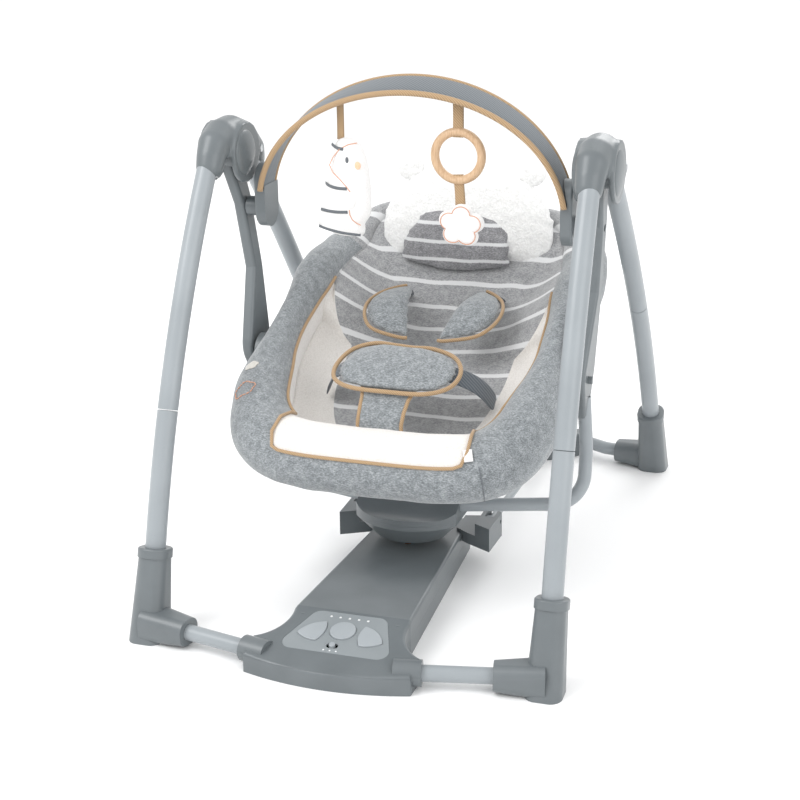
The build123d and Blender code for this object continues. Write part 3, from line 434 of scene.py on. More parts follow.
# %% Piping and the seam of the cover
order = sorted(range(RIM_COUNT), key=lambda k: (rim_angles[k] - math.pi / 2) % (2 * math.pi))
piped = [k for k in order if rim_line[k][1] < 116]
rim_piping = laid_cord("rim_piping", [rim_point(k, rim_section(k)[3], 0.9) for k in piped], 2.3,
                       piping_twill)
knee_roll = [k for k in range(RIM_COUNT) if rim_line[k][1] < -150]
seam_at = min(knee_roll, key=lambda k: abs(rim_line[k][0] - 128))
cover_seam = laid_cord("cover_seam", [rim_point(seam_at, a, 0.1) for a in range(134, 292, 5)], 0.55,
                       thread_grey)
for made in (rim_piping, cover_seam):
    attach(made, "seat")
tag_at = min(knee_roll, key=lambda k: abs(rim_line[k][0] - 121))
tag_line = [rim_point(tag_at, rim_section(tag_at)[3] + a, 1.6) for a in (-2, 8, 18)]

# %% [markdown]
# Inside the rim hangs the seat's bowl. Its terry walls fall to the striped liner, and a plain sling cloth
# closes it below. All of it is one closed skin of rings, each with as many points as the rim, so the bowl
# meets the roll exactly. The liner widens to the full rim behind the shoulders, where the terry ends.

# %% The bowl
def liner_edge(k):
    """Where the liner meets the terry wall, or the roll itself behind the shoulders."""
    u, v = squared_oval(117, 38, 206, 2.6, rim_angles[k])
    low = seat_point(u, v, -46 + 9 * ease(-v, 120, 168))
    high = rim_point(k, 16)
    return low.lerp(high, ease(rim_line[k][1], 20, 118))


def bowl_floor(k, share, sink):
    """A point of the liner between its edge and its middle line."""
    edge = liner_edge(k)
    local = edge - seat_point(0, 0, 0)
    u = local.x / MM
    v = local.dot(SEAT_ALONG) / MM
    w = local.dot(SEAT_UP) / MM
    v_in = 38 + (v - 38) * share
    depth = -52 + 30 * ease(v_in, 205, 292) + 6 * ease(-v_in, 110, 165)
    mixed = depth + (w - depth) * share ** 2.6
    here = seat_point(u * share, v_in, mixed - sink)
    return here + SEAT_UP * noise.noise(here * 22) * 2.2 * MM


TOP_SHARES = [0.06, 0.15, 0.25, 0.36, 0.47, 0.58, 0.68, 0.77, 0.85, 0.92, 0.97, 1.0]
bowl_rings = [[bowl_floor(k, s, 0) for k in range(RIM_COUNT)] for s in TOP_SHARES]
wall = []
for step in (0.14, 0.3, 0.46, 0.62, 0.78, 0.9, 1.0):
    ring = []
    for k in range(RIM_COUNT):
        low, high = liner_edge(k), rim_point(k, -22 if rim_line[k][1] < 60 else 12, -2)
        bend = low.lerp(high, 0.5) - SEAT_UP * 7 * MM
        here = low * (1 - step) ** 2 + bend * 2 * step * (1 - step) + high * step ** 2
        ring.append(here + SEAT_UP * noise.noise(here * 34) * 1.6 * MM)
    wall.append(ring)
bowl_rings += wall
bowl_rings += [[rim_point(k, -64, -3) for k in range(RIM_COUNT)]]
bowl_rings += [[bowl_floor(k, s, 9) for k in range(RIM_COUNT)]
               for s in (1.0, 0.92, 0.8, 0.6, 0.4, 0.2, 0.06)]
bands = [0] * (len(TOP_SHARES) - 1) + [1] * 7 + [2] * 8
bowl = skin("seat_bowl", bowl_rings, [liner_stripe, terry, sling_cloth], bands)
for face in bowl.data.polygons:
    if face.material_index == 1 and rim_line[(face.index % RIM_COUNT)][1] > 112:
        face.material_index = 0
subdivided(bowl)
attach(bowl, "seat")
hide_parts("seat_liner", "side_panels", "seat_sling")
print("bowl points:", len(bowl.data.vertices))

# %% [markdown]
# Cushions start as a flat outline, blown up into a crowned form: rings shrink towards the middle while
# the thickness grows, quickly at the seam and slowly in the middle. A cloth simulation with air pressure
# then pulls each one into real stuffed fabric. It starts from a slightly smaller form, because it swells,
# and no point may travel further than a set distance.

# %% Cushions
def rounded_outline(corners, count=72):
    """A smooth closed outline through a few points, with its points evenly spaced."""
    p = np.array(corners, float)
    dense = []
    for k in range(len(p)):
        p0, p1, p2, p3 = p[k - 1], p[k], p[(k + 1) % len(p)], p[(k + 2) % len(p)]
        for t in np.linspace(0, 1, 24, endpoint=False):
            dense.append(0.5 * (2 * p1 + (p2 - p0) * t + (2 * p0 - 5 * p1 + 4 * p2 - p3) * t * t
                                + (3 * p1 - p0 - 3 * p2 + p3) * t ** 3))
    dense = np.array(dense + [dense[0]])
    lengths = np.concatenate([[0], np.cumsum(np.hypot(*np.diff(dense, axis=0).T))])
    steps = np.linspace(0, lengths[-1], count, endpoint=False)
    return list(zip(np.interp(steps, lengths, dense[:, 0]), np.interp(steps, lengths, dense[:, 1])))


def stuffed(name, outline, thick, place, finish, crown=2.4, back=1.0):
    """A crowned closed form on an outline, thick mm in its middle, with its seam in the outline's plane."""
    middle = np.mean(outline, axis=0)
    shares = [0.08, 0.22, 0.38, 0.54, 0.69, 0.81, 0.9, 0.96, 1.0]
    rings = []
    for side, order in ((1, shares), (-back, shares[-2::-1])):
        for s in order:
            lift = side * thick / 2 * (1 - s ** crown) ** 0.55
            rings.append([place(*(middle + (np.array(q) - middle) * s), lift) for q in outline])
    return skin(name, rings, [finish])


def puffed(made, pressure=4.0, travel_mm=12.0, voxel_mm=5.0, shrink=0.96):
    """The piece blown up by a short cloth simulation, with each point's travel capped."""
    mesh = made.data
    centre = sum((v.co for v in mesh.vertices), Vector()) / len(mesh.vertices)
    for v in mesh.vertices:
        v.co = centre + (v.co - centre) * shrink
    bpy.context.view_layer.objects.active = made
    remesh = made.modifiers.new("even mesh", "REMESH")
    remesh.mode = "VOXEL"
    remesh.voxel_size = voxel_mm * MM
    bpy.ops.object.modifier_apply(modifier=remesh.name)
    start = [v.co.copy() for v in made.data.vertices]
    cloth = made.modifiers.new("stuffing", "CLOTH")
    cloth.settings.use_pressure = True
    cloth.settings.uniform_pressure_force = pressure
    cloth.settings.effector_weights.gravity = 0.0
    cloth.settings.mass = 0.15
    cloth.point_cache.frame_start, cloth.point_cache.frame_end = 1, 20
    for step in range(1, 21):
        scene.frame_set(step)
    blown = made.evaluated_get(bpy.context.evaluated_depsgraph_get()).to_mesh()
    ends = [v.co.copy() for v in blown.vertices]
    made.modifiers.remove(cloth)
    for v, begin, end in zip(made.data.vertices, start, ends):
        step = end - begin
        v.co = begin + step * min(1.0, travel_mm * MM / max(step.length, 1e-9))
    made.data.polygons.foreach_set("use_smooth", [True] * len(made.data.polygons))
    scene.frame_set(1)
    return subdivided(made)


# %% [markdown]
# The head pillow is a dome of sherpa fleece with two small ears, and a striped pad sewn to its front.
# It leans back against the head of the seat. The fleece is matted, so its surface is pushed in and out
# by a few millimetres after stuffing.

# %% The head pillow
LEAN = math.atan2(40, 200)


def pillow_place(x, z, front):
    """A point by its place across and up the pillow and its distance in front of its middle plane."""
    up = z - 440
    return at(x, 280 + up * math.sin(LEAN) - front * math.cos(LEAN),
              440 + up * math.cos(LEAN) + front * math.sin(LEAN))


def ruffled(made, depth_mm, size_mm):
    """Fleece: the skin pushed in and out along its normals in small uneven tufts."""
    normals = [v.normal.copy() for v in made.data.vertices]
    for v, normal in zip(made.data.vertices, normals):
        v.co += normal * noise.noise(v.co * (1000 / size_mm)) * depth_mm * MM
    return made


dome = rounded_outline([(-112, 366), (0, 360), (112, 366), (136, 392), (139, 425), (128, 462), (98, 495),
                        (55, 514), (0, 520), (-55, 514), (-98, 495), (-128, 462), (-139, 425), (-136, 392)])
pillow = stuffed("head_pillow_fleece", dome, 44, pillow_place, fleece)
puffed(pillow, 3.5, 9, 5)
ruffled(pillow, 2.2, 7)
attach(pillow, "seat")
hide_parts("head_pillow")
for side in (-1, 1):
    ear_outline = [(side * 92 + 21 * math.cos(a), 503 + 19 * math.sin(a)) for a in full_turn(40)]
    ear = stuffed(f"pillow_ear_{'left' if side < 0 else 'right'}", ear_outline, 16, pillow_place, fleece)
    subdivided(ruffled(ear, 1.5, 6))
    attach(ear, "seat")
arch_pad = rounded_outline([(-92, 366), (-12, 352), (72, 364), (80, 392), (72, 420), (46, 444), (-8, 453),
                            (-58, 446), (-86, 420), (-98, 390)])
head_pad = stuffed("pillow_striped_pad", arch_pad, 26, lambda x, z, f: pillow_place(x, z, 24 + f * 0.8),
                   pillow_stripe, back=0.4)
puffed(head_pad, 3, 6, 4.5)
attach(head_pad, "seat")
print("pillow points:", len(pillow.data.vertices))

# %% [markdown]
# The harness: a bean-shaped lap pad between the waist straps, a wide crotch strap that rises to it, and
# two leaf-shaped shoulder pads. The pads are thin quilted jersey with a flat tan binding round the edge.
# Webbing is thin and stiff, so it is modelled directly.

# %% The lap pad and its straps
lap_up = Vector((0, -0.40, 0.917)).normalized()
lap_along = lap_up.cross(Vector((1, 0, 0)))


def lap_place(x, y, up):
    """A point across and along the lap pad and above its middle plane, curved over the lap."""
    droop = -((x / 84) ** 2) * 7 - ((y / 46) ** 2) * 2
    return seat_point(0, -92, 42) + (Vector((1, 0, 0)) * x + lap_along * y + lap_up * (up + droop)) * MM


bean = rounded_outline([(-84, 0), (-77, -27), (-48, -43), (0, -47), (48, -43), (77, -24), (84, 6), (70, 32),
                        (38, 43), (10, 41), (-14, 43), (-44, 46), (-72, 32)])
lap_pad = stuffed("lap_pad", bean, 15, lap_place, heather)
puffed(lap_pad, 2.5, 4, 4)
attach(lap_pad, "seat")
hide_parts("waist_pad")
lap_binding = laid_cord("lap_binding", [lap_place(x, y, 1.2) for x, y in bean], 3.0, piping_twill, True)
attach(lap_binding, "seat")


def ribbon(name, middle, sideways, widths, thick, finish):
    """A flat strap: its middle line, the direction across it, its width at each point and its thickness."""
    rings = []
    for k, (point, width) in enumerate(zip(middle, widths)):
        ahead = (middle[min(k + 1, len(middle) - 1)] - middle[max(k - 1, 0)]).normalized()
        side = sideways[k] if isinstance(sideways, list) else sideways
        side = (side - ahead * side.dot(ahead)).normalized()
        face = side.cross(ahead).normalized()
        half, rise = width / 2 * MM, thick / 2 * MM
        rings.append([point + side * half * a + face * rise * b for a, b in
                      ((-1, -0.5), (-0.96, -1), (0, -1), (0.96, -1), (1, -0.5),
                        (1, 0.5), (0.96, 1), (0, 1), (-0.96, 1), (-1, 0.5))])
    return skin(name, rings, [finish])


ACROSS = Vector((1, 0, 0))
tag_way = rim_point(tag_at + 1, 150) - rim_point(tag_at - 1, 150)
care_tag = ribbon("blank_tag", tag_line, tag_way, [11] * 3, 0.9, velour)
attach(care_tag, "seat")
crotch_line = [seat_point(-2, v, w) for v, w in
               ((-186, -34), (-184, -14), (-181, 4), (-174, 18),
                (-160, 26), (-142, 31), (-122, 34), (-104, 34))]
crotch_widths = [58, 58, 58, 58, 59, 62, 72, 92]
crotch = ribbon("crotch_strap", crotch_line, ACROSS, crotch_widths, 7, heather)
subdivided(crotch)
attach(crotch, "seat")
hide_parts("harness_straps")
for side in (-1, 1):
    edge = [p + ACROSS * side * w / 2 * MM + SEAT_UP * 1.5 * MM for p, w in zip(crotch_line, crotch_widths)]
    hem = laid_cord(f"crotch_binding_{'left' if side < 0 else 'right'}", edge, 2.6, piping_twill)
    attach(hem, "seat")
    end = "left" if side < 0 else "right"
    waist_line = [seat_point(side * u, v, w) for u, v, w in
                  ((58, -80, 28), (80, -76, 19), (98, -70, 3), (109, -66, -16), (116, -63, -36))]
    waist_strap = ribbon(f"waist_strap_{end}", waist_line, SEAT_ALONG, [29] * 5, 2.4, webbing)
    subdivided(waist_strap)
    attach(waist_strap, "seat")
print("lap pad and straps made")

# %% The shoulder pads
for side in (-1, 1):
    end = "left" if side < 0 else "right"

    def pad_place(x, y, up):
        """A point of a pad by its place across and along the seat; the pad bows up and sinks at its top."""
        bow = 10 * (1 - ((y - 60) / 62) ** 2) - ((abs(x) - 58) / 40) ** 2 * 8 - 10 * ease(y, 60, 132)
        return seat_point(x, y, 4 + bow + up)

    leaf = rounded_outline([(side * x, y) for x, y in
                            ((22, 10), (50, 8), (76, 18), (92, 42), (97, 72), (88, 104),
                             (68, 126), (50, 132), (40, 104), (31, 64), (24, 32))])
    pad = stuffed(f"shoulder_pad_{end}", leaf, 13, pad_place, heather)
    puffed(pad, 2.5, 3, 4)
    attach(pad, "seat")
    if side < 0:
        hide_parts("shoulder_pads")
    edge = [pad_place(x, y, 1.0) for x, y in leaf]
    outer = [k for k in range(len(leaf)) if side * leaf[k][0] > 26 + leaf[k][1] * 0.25 or leaf[k][1] < 14]
    start = next(k for k in outer if (k - 1) % len(leaf) not in outer)
    bound = [edge[(start + j) % len(leaf)] for j in range(len(outer))]
    binding = laid_cord(f"shoulder_binding_{end}", bound, 2.6, piping_twill)
    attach(binding, "seat")
    strap_line = [seat_point(side * u, v, w) for u, v, w in
                  ((56, 96, 4), (60, 120, -4), (66, 138, -22), (70, 150, -42))]
    strap = ribbon(f"shoulder_strap_{end}", strap_line, ACROSS, [24] * 4, 2.0, webbing)
    subdivided(strap)
    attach(strap, "seat")
print("shoulder pads made")

# %% [markdown]
# The toy bar is a flat springy arch in a sleeve of grey mesh, with a tan binding along both edges. The
# sleeve follows the arch with a fine gather, so it is a swept band and two swept bindings.

# %% The toy bar
ARCH_HALF, ARCH_RISE, ARCH_Z = 206, 162, 500


def arch_point(angle, deep, lift=0.0):
    """A point of the arch from its angle, its place across the band and its height above the middle.
    The band leans forward towards the top, so that its outer face shows from the front."""
    lean = math.radians(19) * math.sin(angle) ** 2
    deep, lift = deep * math.cos(lean) - lift * math.sin(lean), lift * math.cos(lean) + deep * math.sin(lean)
    return at((ARCH_HALF + lift) * math.cos(angle), 20 + deep, ARCH_Z + (ARCH_RISE + lift) * math.sin(angle))


arch_angles = np.linspace(0.11, math.pi - 0.11, 110)
sleeve_rings = []
for a in arch_angles:
    gather = noise.noise(Vector((a * 40, 0, 0))) * 0.35
    outline = [(-22, -2.6), (-12, -3.2), (0, -3.4), (12, -3.2), (22, -2.6), (23, 0),
               (22, 2.6), (12, 3.3), (0, 3.6), (-12, 3.3), (-22, 2.6), (-23, 0)]
    sleeve_rings.append([arch_point(a, d, h + math.copysign(gather, h)) for d, h in outline])
sleeve = skin("toy_bar_sleeve", sleeve_rings, [bar_mesh])
subdivided(sleeve)
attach(sleeve, "toy_arch")
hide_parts("toy_bar")
for name, deep in (("front", -23), ("back", 23)):
    binding_rings = []
    for a in arch_angles:
        outline = [(3.2 * math.cos(b), 4.0 * math.sin(b)) for b in full_turn(12)]
        binding_rings.append([arch_point(a, deep + d, h) for d, h in outline])
    binding = skin(f"toy_bar_binding_{name}", binding_rings, [piping_twill])
    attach(binding, "toy_arch")
print("toy bar made")

# %% [markdown]
# The toys hang from tan ribbons: a plush bird in a striped coat, and a beech ring with a stuffed cloud.
# A ribbon is a flat loop, doubled back on itself. The ring is turned from beech, so its grain runs
# straight across it and shows as fine brown lines with small dark pores.

# %% Beech
beech, tree, shader, place = new_finish("turned_beech_oiled", 0.45, IOR=1.5)
stretched = add_node(tree, "ShaderNodeMapping", Vector=place, Scale=(1.0, 1.0, 0.12))
grain = add_node(tree, "ShaderNodeTexNoise", Vector=stretched.outputs["Vector"], Scale=1000 / 2.2,
                 Detail=5.0, Roughness=0.65)
tone = add_node(tree, "ShaderNodeValToRGB", stops=[(0.3, "#b08f6e"), (0.5, "#c6a684"), (0.75, "#d6ba9a")],
                Fac=grain.outputs["Fac"])
relief = add_node(tree, "ShaderNodeBump", Strength=0.12, Distance=0.0003, Height=grain.outputs["Fac"])
tree.links.new(tone.outputs["Color"], shader.inputs["Base Color"])
tree.links.new(relief.outputs["Normal"], shader.inputs["Normal"])

# %% Ribbons, ring and cloud
RING_X, RING_Z, RING_R = 61, 574, 31
FRONT = Vector((0, -1, 0))


def bar_under(x):
    """Height of the sleeve's underside at a place along the bar."""
    return ARCH_Z + (ARCH_RISE - 3) * math.sqrt(1 - (x / (ARCH_HALF - 3)) ** 2)


def hanging_ribbon(name, x, low, high, width, body, lean=0.0):
    """A doubled ribbon between two heights."""
    line = [at(x + lean * (1 - t), 20, low + (high - low) * t) for t in np.linspace(0, 1, 7)]
    waisted = [width * (1 - 0.08 * math.sin(math.pi * k / 6)) for k in range(7)]
    front = ribbon(name, [p + FRONT * 1.2 * MM for p in line], ACROSS, waisted, 1.2, piping_twill)
    behind = ribbon(name + "_back", [p - FRONT * 1.4 * MM for p in line], ACROSS, [width] * 7, 1.2,
                    piping_twill)
    for made in (front, behind):
        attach(made, body)


ring_rings = []
for a in full_turn(72):
    outward = Vector((math.cos(a), 0, math.sin(a)))
    middle = at(RING_X, 20, RING_Z) + outward * RING_R * MM
    ring_rings.append([middle + (outward * math.cos(b) * 5.6 + Vector((0, 1, 0)) * math.sin(b) * 6.2) * MM
                       for b in full_turn(20)])
toy_ring = skin("beech_ring", ring_rings, [beech], loop=True)
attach(toy_ring, "ring")
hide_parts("toy_ring")
hanging_ribbon("ring_ribbon", RING_X, RING_Z + RING_R - 7, bar_under(RING_X) + 1, 14, "ring")

cloud_x, cloud_z = 65, 484
cloud_outline = []
for a in full_turn(120):
    reach = 21.5 + 8.5 * abs(math.cos(2.5 * (a - 1.5))) ** 0.75
    cloud_outline.append((cloud_x + reach * 1.06 * math.cos(a), cloud_z + reach * 0.98 * math.sin(a)))


def flat_place(x, z, front):
    """A point across, above the floor and in front of the plane the toys hang in, mm."""
    return at(x, 20 - front, z)


cloud = stuffed("toy_cloud_plush", cloud_outline, 20, flat_place, velour, crown=3.0)
subdivided(cloud)
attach(cloud, "cloud")
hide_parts("toy_cloud")
stitched = [flat_place(cloud_x + (x - cloud_x) * 0.87, cloud_z + (z - cloud_z) * 0.87, 6.4)
            for x, z in cloud_outline]
cloud_stitch = laid_cord("toy_cloud_stitch", stitched, 0.55, thread_peach, True)
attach(cloud_stitch, "cloud")
hanging_ribbon("cloud_ribbon", RING_X, cloud_z + 25, RING_Z - RING_R + 7, 13, "cloud", 3)
print("ring and cloud made")

# %% [markdown]
# The plush bird is one white velour form seen from the side, with a small wing sewn on it. A stitched
# line marks the edge of its hood and coat, and four grey bands are sewn across. The face is a stitched
# eye and a peach felt cheek. All its places are millimetres across and up from the toy's middle.

# %% The plush bird
BIRD_MIDDLE = (-96, 524)
BIRD_THICK, BIRD_CROWN = 34, 2.6


def toy_place(across, up):
    """A place on the toy, from its middle, as a place across the swing and above the floor, mm."""
    return BIRD_MIDDLE[0] + across, BIRD_MIDDLE[1] + up


def bird_outline(points):
    """A rounded outline through places on the toy."""
    return rounded_outline([toy_place(*point) for point in points])


body_shape = bird_outline([(-9, 60.5), (0, 67.5), (11.5, 67.5), (24, 61.5), (33.5, 41), (38, 8),
                           (39, -16), (37, -35), (28.5, -48), (26.5, -62.5), (-9, -64), (-38, -49),
                           (-32, -30.5), (-26, -11.5), (-24.5, 3), (-21, 10), (-16, 29.5), (-12.5, 46)])
body_middle = np.mean(body_shape, axis=0)


def body_front(across, up, proud=0.0):
    """The point of the body's front at a place on the toy, found from how near that is to the seam."""
    x, z = toy_place(across, up)
    way = np.array([x, z]) - body_middle
    length = float(np.linalg.norm(way))
    spokes = [np.array(point) - body_middle for point in body_shape]
    near = [spoke for spoke in spokes
            if abs(spoke[0] * way[1] - spoke[1] * way[0]) < 0.25 * np.linalg.norm(spoke) * length]
    reach = max(float(np.dot(spoke, way)) for spoke in near) / max(length, 1e-6)
    share = min(0.97, length / reach)
    return flat_place(x, z, BIRD_THICK / 2 * (1 - share ** BIRD_CROWN) ** 0.55 + proud)


bird = stuffed("toy_bird_plush", body_shape, BIRD_THICK, flat_place, velour, crown=BIRD_CROWN)
subdivided(bird)
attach(bird, "animal")
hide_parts("toy_animal")
wing_shape = bird_outline([(5.5, -2), (13, 0.5), (20, -5.5), (22.5, -14.5), (19.5, -22.5), (13, -24.5),
                           (7.5, -19.5), (5, -11)])
wing = stuffed("toy_bird_wing", wing_shape, 8, lambda x, z, f: flat_place(x, z, 15 + f), velour)
subdivided(wing)
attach(wing, "animal")
seam_lines = {
    "hood_edge": [(22.5, 61), (11.5, 59), (0, 53), (-9, 41.5), (-13.5, 32), (-8, 22.5), (2, 14),
                  (11, 4.5), (15.5, -1.5)],
    "coat_edge": [(13.5, -25.5), (14, -32.5), (17, -39), (22.5, -43.5), (27.5, -46)],
}
for name, line in seam_lines.items():
    edge_line = laid_cord(f"toy_bird_{name}", [body_front(*q, 0.2) for q in line], 0.6, thread_peach)
    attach(edge_line, "animal")
band_ends = {"hood": ((-12, 58.5), (5, 53)), "collar": ((-23, 6.5), (11, 2.5)),
             "waist": ((-27, -27), (11, -28.5)), "hem": ((-34, -52), (24.5, -60.5))}
for name, ((x0, z0), (x1, z1)) in band_ends.items():
    line = [body_front(x0 + (x1 - x0) * t, z0 + (z1 - z0) * t - 1.4 * math.sin(math.pi * t), 0.3)
            for t in np.linspace(0, 1, 12)]
    band = ribbon(f"toy_bird_{name}_band", line, Vector((0, 0, 1)), [4.0] * 12, 0.9, thread_grey)
    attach(band, "animal")


def small_disc(name, across, up, half_wide, half_tall, finish):
    """A small domed oval sewn on the bird."""
    cx, cz = toy_place(across, up)
    front = body_front(across, up)
    oval = [(cx + half_wide * math.cos(a), cz + half_tall * math.sin(a)) for a in full_turn(24)]
    disc = stuffed(name, oval, 2.4, lambda x, z, f: Vector((x * MM, front.y - f * MM, z * MM)), finish)
    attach(disc, "animal")


small_disc("toy_bird_eye", 11, 39.5, 2.2, 4.2, thread_grey)
small_disc("toy_bird_cheek", 25.5, 33, 4.2, 5.2, felt_peach)
hanging_ribbon("bird_ribbon", -98, 588, bar_under(-98) + 1, 9, "animal")
print("bird made")

# %% [markdown]
# The hub housings are the two smooth saddles at the top of the frame. Each is moulded like a bent horn
# that grips the front leg in a collar, swells over the axle and runs back to the rear leg, with a rounded
# plate on each side of the swing arm and a domed cap on each plate. Many overlapping balls and discs are
# fused by a voxel remesh and smoothed, and the room for the arm and the folding rear leg is cut out.

# %% Hub housings
def fused(name, balls, discs, finish, voxel_mm=2.0):
    """Balls (x, y, z, radius) and discs (x, y, z, half across, half up, half thick) melted into one form."""
    shape = bmesh.new()
    for x, y, z, radius in balls:
        bmesh.ops.create_uvsphere(shape, u_segments=28, v_segments=18, radius=radius * MM,
                                  matrix=Matrix.Translation(at(x, y, z)))
    for x, y, z, across, up, thick in discs:
        place = (Matrix.Translation(at(x, y, z)) @ Matrix.Diagonal((1, across / up, 1, 1))
                 @ Matrix.Rotation(math.pi / 2, 4, "Y"))
        bmesh.ops.create_cone(shape, cap_ends=True, segments=64, radius1=up * MM, radius2=up * MM,
                              depth=2 * thick * MM, matrix=place)
    mesh = bpy.data.meshes.new(name)
    shape.to_mesh(mesh)
    shape.free()
    mesh.materials.append(finish)
    made = bpy.data.objects.new(name, mesh)
    scene.collection.objects.link(made)
    bpy.context.view_layer.objects.active = made
    melt = made.modifiers.new("melt", "REMESH")
    melt.mode = "VOXEL"
    melt.voxel_size = voxel_mm * MM
    bpy.ops.object.modifier_apply(modifier=melt.name)
    even = made.modifiers.new("even", "SMOOTH")
    even.factor, even.iterations = 0.5, 8
    bpy.ops.object.modifier_apply(modifier=even.name)
    return made


def cut_away(made, corners, half_thick, x):
    """The piece less an upright prism on the corners given behind the axis and above the floor."""
    rings = [[at(x + side * half_thick, y, z) for y, z in corners] for side in (-1, 1)]
    tool = skin(made.name + "_room", rings, [])
    bmesh_tool = bmesh.new()
    bmesh_tool.from_mesh(tool.data)
    bmesh.ops.recalc_face_normals(bmesh_tool, faces=bmesh_tool.faces)
    bmesh_tool.to_mesh(tool.data)
    bmesh_tool.free()
    cut = made.modifiers.new("room", "BOOLEAN")
    cut.operation, cut.object, cut.solver = "DIFFERENCE", tool, "EXACT"
    bpy.context.view_layer.objects.active = made
    bpy.ops.object.modifier_apply(modifier=cut.name)
    bpy.data.objects.remove(tool)


def smoothed_by_angle(made, degrees=40):
    """Smooth shading that keeps edges sharper than the angle."""
    made.data.polygons.foreach_set("use_smooth", [True] * len(made.data.polygons))
    made.data.set_sharp_from_angle(angle=math.radians(degrees))
    return made


# the horn's middle line: behind the swing axis, above the floor, and radius
horn = [(-60, 558, 17.6), (-54, 570, 19), (-42, 584, 21.5), (-20, 590, 24),
        (6, 590, 25), (34, 580, 25.4), (56, 562, 24.5), (68, 546, 20)]
cap_shape = rounded_outline([(-7, 599), (15, 592), (27, 570), (18, 550),
                             (-6, 538), (-25, 547), (-34, 568), (-27, 589)])
arm_room = [(-24, 556), (-40, 500), (150, 400), (104, 548), (60, 566), (20, 547)]
leg_room = [(-92, 556), (-40, 539), (-70, 480), (-140, 500)]
for side in (-1, 1):
    end = "left" if side < 0 else "right"
    x = side * 248
    balls = []
    for (y0, z0, r0), (y1, z1, r1) in zip(horn, horn[1:]):
        balls += [(x, y0 + (y1 - y0) * t, z0 + (z1 - z0) * t, r0 + (r1 - r0) * t)
                  for t in (0, 0.25, 0.5, 0.75)]
    discs = [(x + facing * 22.6, 2, 568, 41, 40, 3.4) for facing in (-1, 1)]
    hub = fused(f"hub_housing_{end}", balls + [(x, *horn[-1])], discs, slate_abs)
    cut_away(hub, arm_room, 19.5, x)
    cut_away(hub, leg_room, 30, x)
    smoothed_by_angle(hub)
    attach(hub, "frame")
    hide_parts(f"hub_inner_{end}", f"hub_outer_{end}")
    for facing in (-1, 1):
        cap = stuffed(f"hub_cap_{end}_{'in' if facing == -side else 'out'}", cap_shape, 12,
                      lambda y, z, lift: at(x + facing * (25.2 + lift), y, z), slate_abs,
                      crown=2.2, back=0.1)
        if facing < 0:
            cap.data.flip_normals()
        subdivided(cap)
        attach(cap, "frame")
        if facing == 1 and side == 1:
            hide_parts("hub_caps")
    print("hub", end, "points:", len(hub.data.vertices))

# %% [markdown]
# Embroidery is thread laid in rows on the cloth. Each cloud motif is a small raised patch or a dashed
# outline that follows the surface it is sewn on, so its outline is mapped onto that surface.

# %% Embroidered clouds
def motif(count=60):
    """A small cloud outline of unit half width."""
    line = []
    for a in full_turn(count):
        reach = 0.80 + 0.2 * abs(math.cos(2.5 * (a - 1.5))) ** 0.8
        line.append((reach * math.cos(a), reach * 0.62 * math.sin(a)))
    return line


def on_rim(k, angle, proud):
    """A point on the rim at a fractional place round it, with the roll's own ripple."""
    whole = math.floor(k)
    return rim_point(whole, angle, proud).lerp(rim_point(whole + 1, angle, proud), k - whole)


def sewn_patch(name, outline, place, finish, body):
    """A slightly raised filled motif."""
    rings = [[place(x * s, y * s, lift) for x, y in outline]
             for s, lift in ((1.0, 0.2), (0.93, 0.9), (0.6, 1.1), (0.2, 1.1))]
    made = skin(name, rings, [finish], caps=True)
    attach(made, body)
    return made


def sewn_dashes(name, outline, place, finish, body, radius=0.7):
    """A motif's outline in short stitches, joined into one piece."""
    rings_all = []
    for k in range(0, len(outline), 3):
        dash = [place(*outline[(k + j) % len(outline)], 0.6) for j in range(3)]
        made = laid_cord(f"{name}_{k:02d}", dash, radius, finish)
        rings_all.append(made)
    deps = bpy.context.evaluated_depsgraph_get()
    points, faces = [], []
    for made in rings_all:
        mesh = made.evaluated_get(deps).to_mesh()
        shift = len(points)
        points += [tuple(v.co) for v in mesh.vertices]
        faces += [tuple(shift + i for i in f.vertices) for f in mesh.polygons]
    for made in rings_all:
        bpy.data.objects.remove(made)
    mesh = bpy.data.meshes.new(name)
    mesh.from_pydata(points, [], faces)
    mesh.materials.append(finish)
    joined = bpy.data.objects.new(name, mesh)
    scene.collection.objects.link(joined)
    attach(joined, body)
    return joined


def rim_index(v_wanted):
    """The place round the rim, on its left side, at a distance along the seat."""
    left = [k for k in range(RIM_COUNT) if rim_line[k][0] < 0]
    return min(left, key=lambda k: abs(rim_line[k][1] - v_wanted))


k_high, k_low = rim_index(-106), rim_index(-152)
pitch = float(run[-1]) / RIM_COUNT
sewn_patch("silver_cloud", motif(), lambda x, y, p: on_rim(k_high - 13 * y / pitch, 108 - x * 17, p),
           thread_silver, "seat")
sewn_dashes("peach_cloud", motif(), lambda x, y, p: on_rim(k_low - 19 * y / pitch, 112 - x * 24, p),
            thread_peach, "seat")
LAP_TOP = 6.6
sewn_patch("lap_silver_cloud", motif(), lambda x, y, p: lap_place(-22 + 15 * x, 6 + 14 * y, LAP_TOP + p),
           thread_silver, "seat")
sewn_patch("lap_white_cloud", motif(), lambda x, y, p: lap_place(17 + 21 * x, 2 + 19 * y, LAP_TOP + p),
           velour, "seat")
sewn_dashes("lap_peach_cloud", motif(), lambda x, y, p: lap_place(17 + 22 * x, 2 + 20 * y, LAP_TOP + p),
            thread_peach, "seat", 0.6)
print("embroidery made")

# %% [markdown]
# The control deck has small printed marks. They are shallow pieces of their own, in white ink: a row of five
# dots over the buttons for the speeds, and three under them for the slide switch.

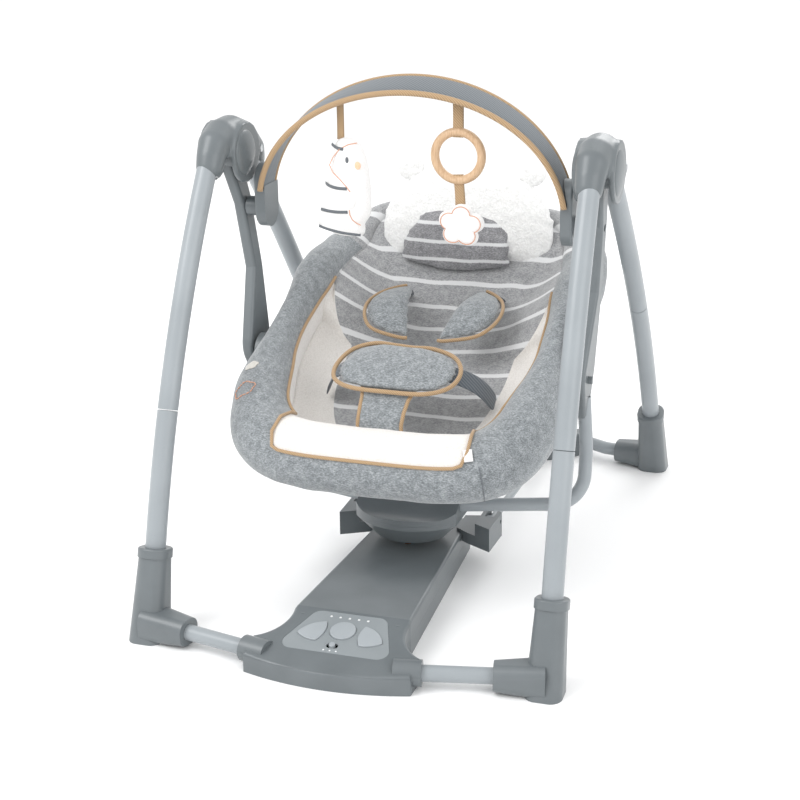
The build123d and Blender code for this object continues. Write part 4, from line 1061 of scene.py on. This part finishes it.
# %% Printed marks
mark_white = coated("printed_white_ink", "#e8eaeb", "#dfe1e2", 1.0, 0.05, 0.5)
DECK_TILT = math.radians(12)
DECK_RIGHT = Vector((1, 0, 0))
DECK_UP = Vector((0, -math.sin(DECK_TILT), math.cos(DECK_TILT)))
DECK_BACK = Vector((0, math.cos(DECK_TILT), math.sin(DECK_TILT)))
DECK_MIDDLE = at(0, -235 - 46 * math.cos(DECK_TILT), 46 - 46 * math.sin(DECK_TILT))


def deck_mark(name, x, y, wide, tall, body="frame", lift=0.1):
    """A small printed mark on the control deck: a rounded bar or a dot."""
    outline = [(x + wide / 2 * math.copysign(abs(math.cos(a)) ** 0.6, math.cos(a)),
                y + tall / 2 * math.copysign(abs(math.sin(a)) ** 0.6, math.sin(a))) for a in full_turn(20)]
    rings = [[DECK_MIDDLE + (DECK_RIGHT * p + DECK_BACK * q + DECK_UP * (lift + h)) * MM
              for p, q in outline] for h in (-0.1, 0.15)]
    made = skin(name, rings, [mark_white])
    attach(made, body)


for k in range(5):
    deck_mark(f"deck_mark_{k}", -24 + 12 * k, 33, 3.0, 3.0)
for k in range(3):
    deck_mark(f"switch_mark_{k}", -12 + 8 * k, -29, 2.2, 2.2)
print("marks made")

# %% [markdown]
# A pale sweep, a large soft key light from the upper left, a weaker fill from the right and a light from
# behind give the even studio look. The camera stands a little to the right of the swing's middle, above
# the seat, with a long lens.

# %% Floor, lights and camera
bpy.ops.mesh.primitive_plane_add(size=120, location=(0, 0, 0))
floor = bpy.context.object
floor.name = "studio_floor"
floor_paint, tree, shader, place = new_finish("matt_white_floor", 0.9)
shade = add_node(tree, "ShaderNodeTexNoise", Vector=place, Scale=0.8)
tone = add_node(tree, "ShaderNodeValToRGB", stops=[(0.0, "#fafafa"), (1.0, "#fefefe")],
                Fac=shade.outputs["Fac"])
tree.links.new(tone.outputs["Color"], shader.inputs["Base Color"])
floor.data.materials.append(floor_paint)

world = bpy.data.worlds.new("studio") if scene.world is None else scene.world
scene.world = world
world.use_nodes = True
world.node_tree.nodes["Background"].inputs["Color"].default_value = (1, 1, 1, 1)
world.node_tree.nodes["Background"].inputs["Strength"].default_value = 1.06


def soft_light(name, place, aim, size, watts):
    """A square soft box that faces a point."""
    lamp = bpy.data.lights.new(name, "AREA")
    lamp.size = size
    lamp.energy = watts
    made = bpy.data.objects.new(name, lamp)
    made.location = place
    made.rotation_euler = (Vector(aim) - Vector(place)).to_track_quat("-Z", "Y").to_euler()
    scene.collection.objects.link(made)


soft_light("key", (-1.5, -1.6, 2.4), (0, 0, 0.3), 1.6, 42)
soft_light("fill", (2.2, -1.4, 1.3), (0, 0, 0.3), 1.8, 17)
soft_light("back", (0.4, 2.2, 1.9), (0, 0, 0.4), 1.4, 20)

AZIMUTH, ELEVATION, DISTANCE = math.radians(16.16), math.radians(17.65), 2.1046
back_way = Vector((math.sin(AZIMUTH) * math.cos(ELEVATION), -math.cos(AZIMUTH) * math.cos(ELEVATION),
                   math.sin(ELEVATION)))
lens = bpy.data.cameras.new("camera")
lens.sensor_width = 36
lens.lens = 70.7
lens.shift_x, lens.shift_y = -0.0824, -0.0549
camera = bpy.data.objects.new("camera", lens)
camera.location = Vector((0.06475, 0.0420 - 0.080, 0.300)) + back_way * DISTANCE
camera.rotation_mode = "QUATERNION"
camera.rotation_quaternion = (-back_way).to_track_quat("-Z", "Y")
scene.collection.objects.link(camera)
scene.camera = camera
scene.view_settings.view_transform = "Standard"
print("camera, m:", [round(c, 3) for c in camera.location])
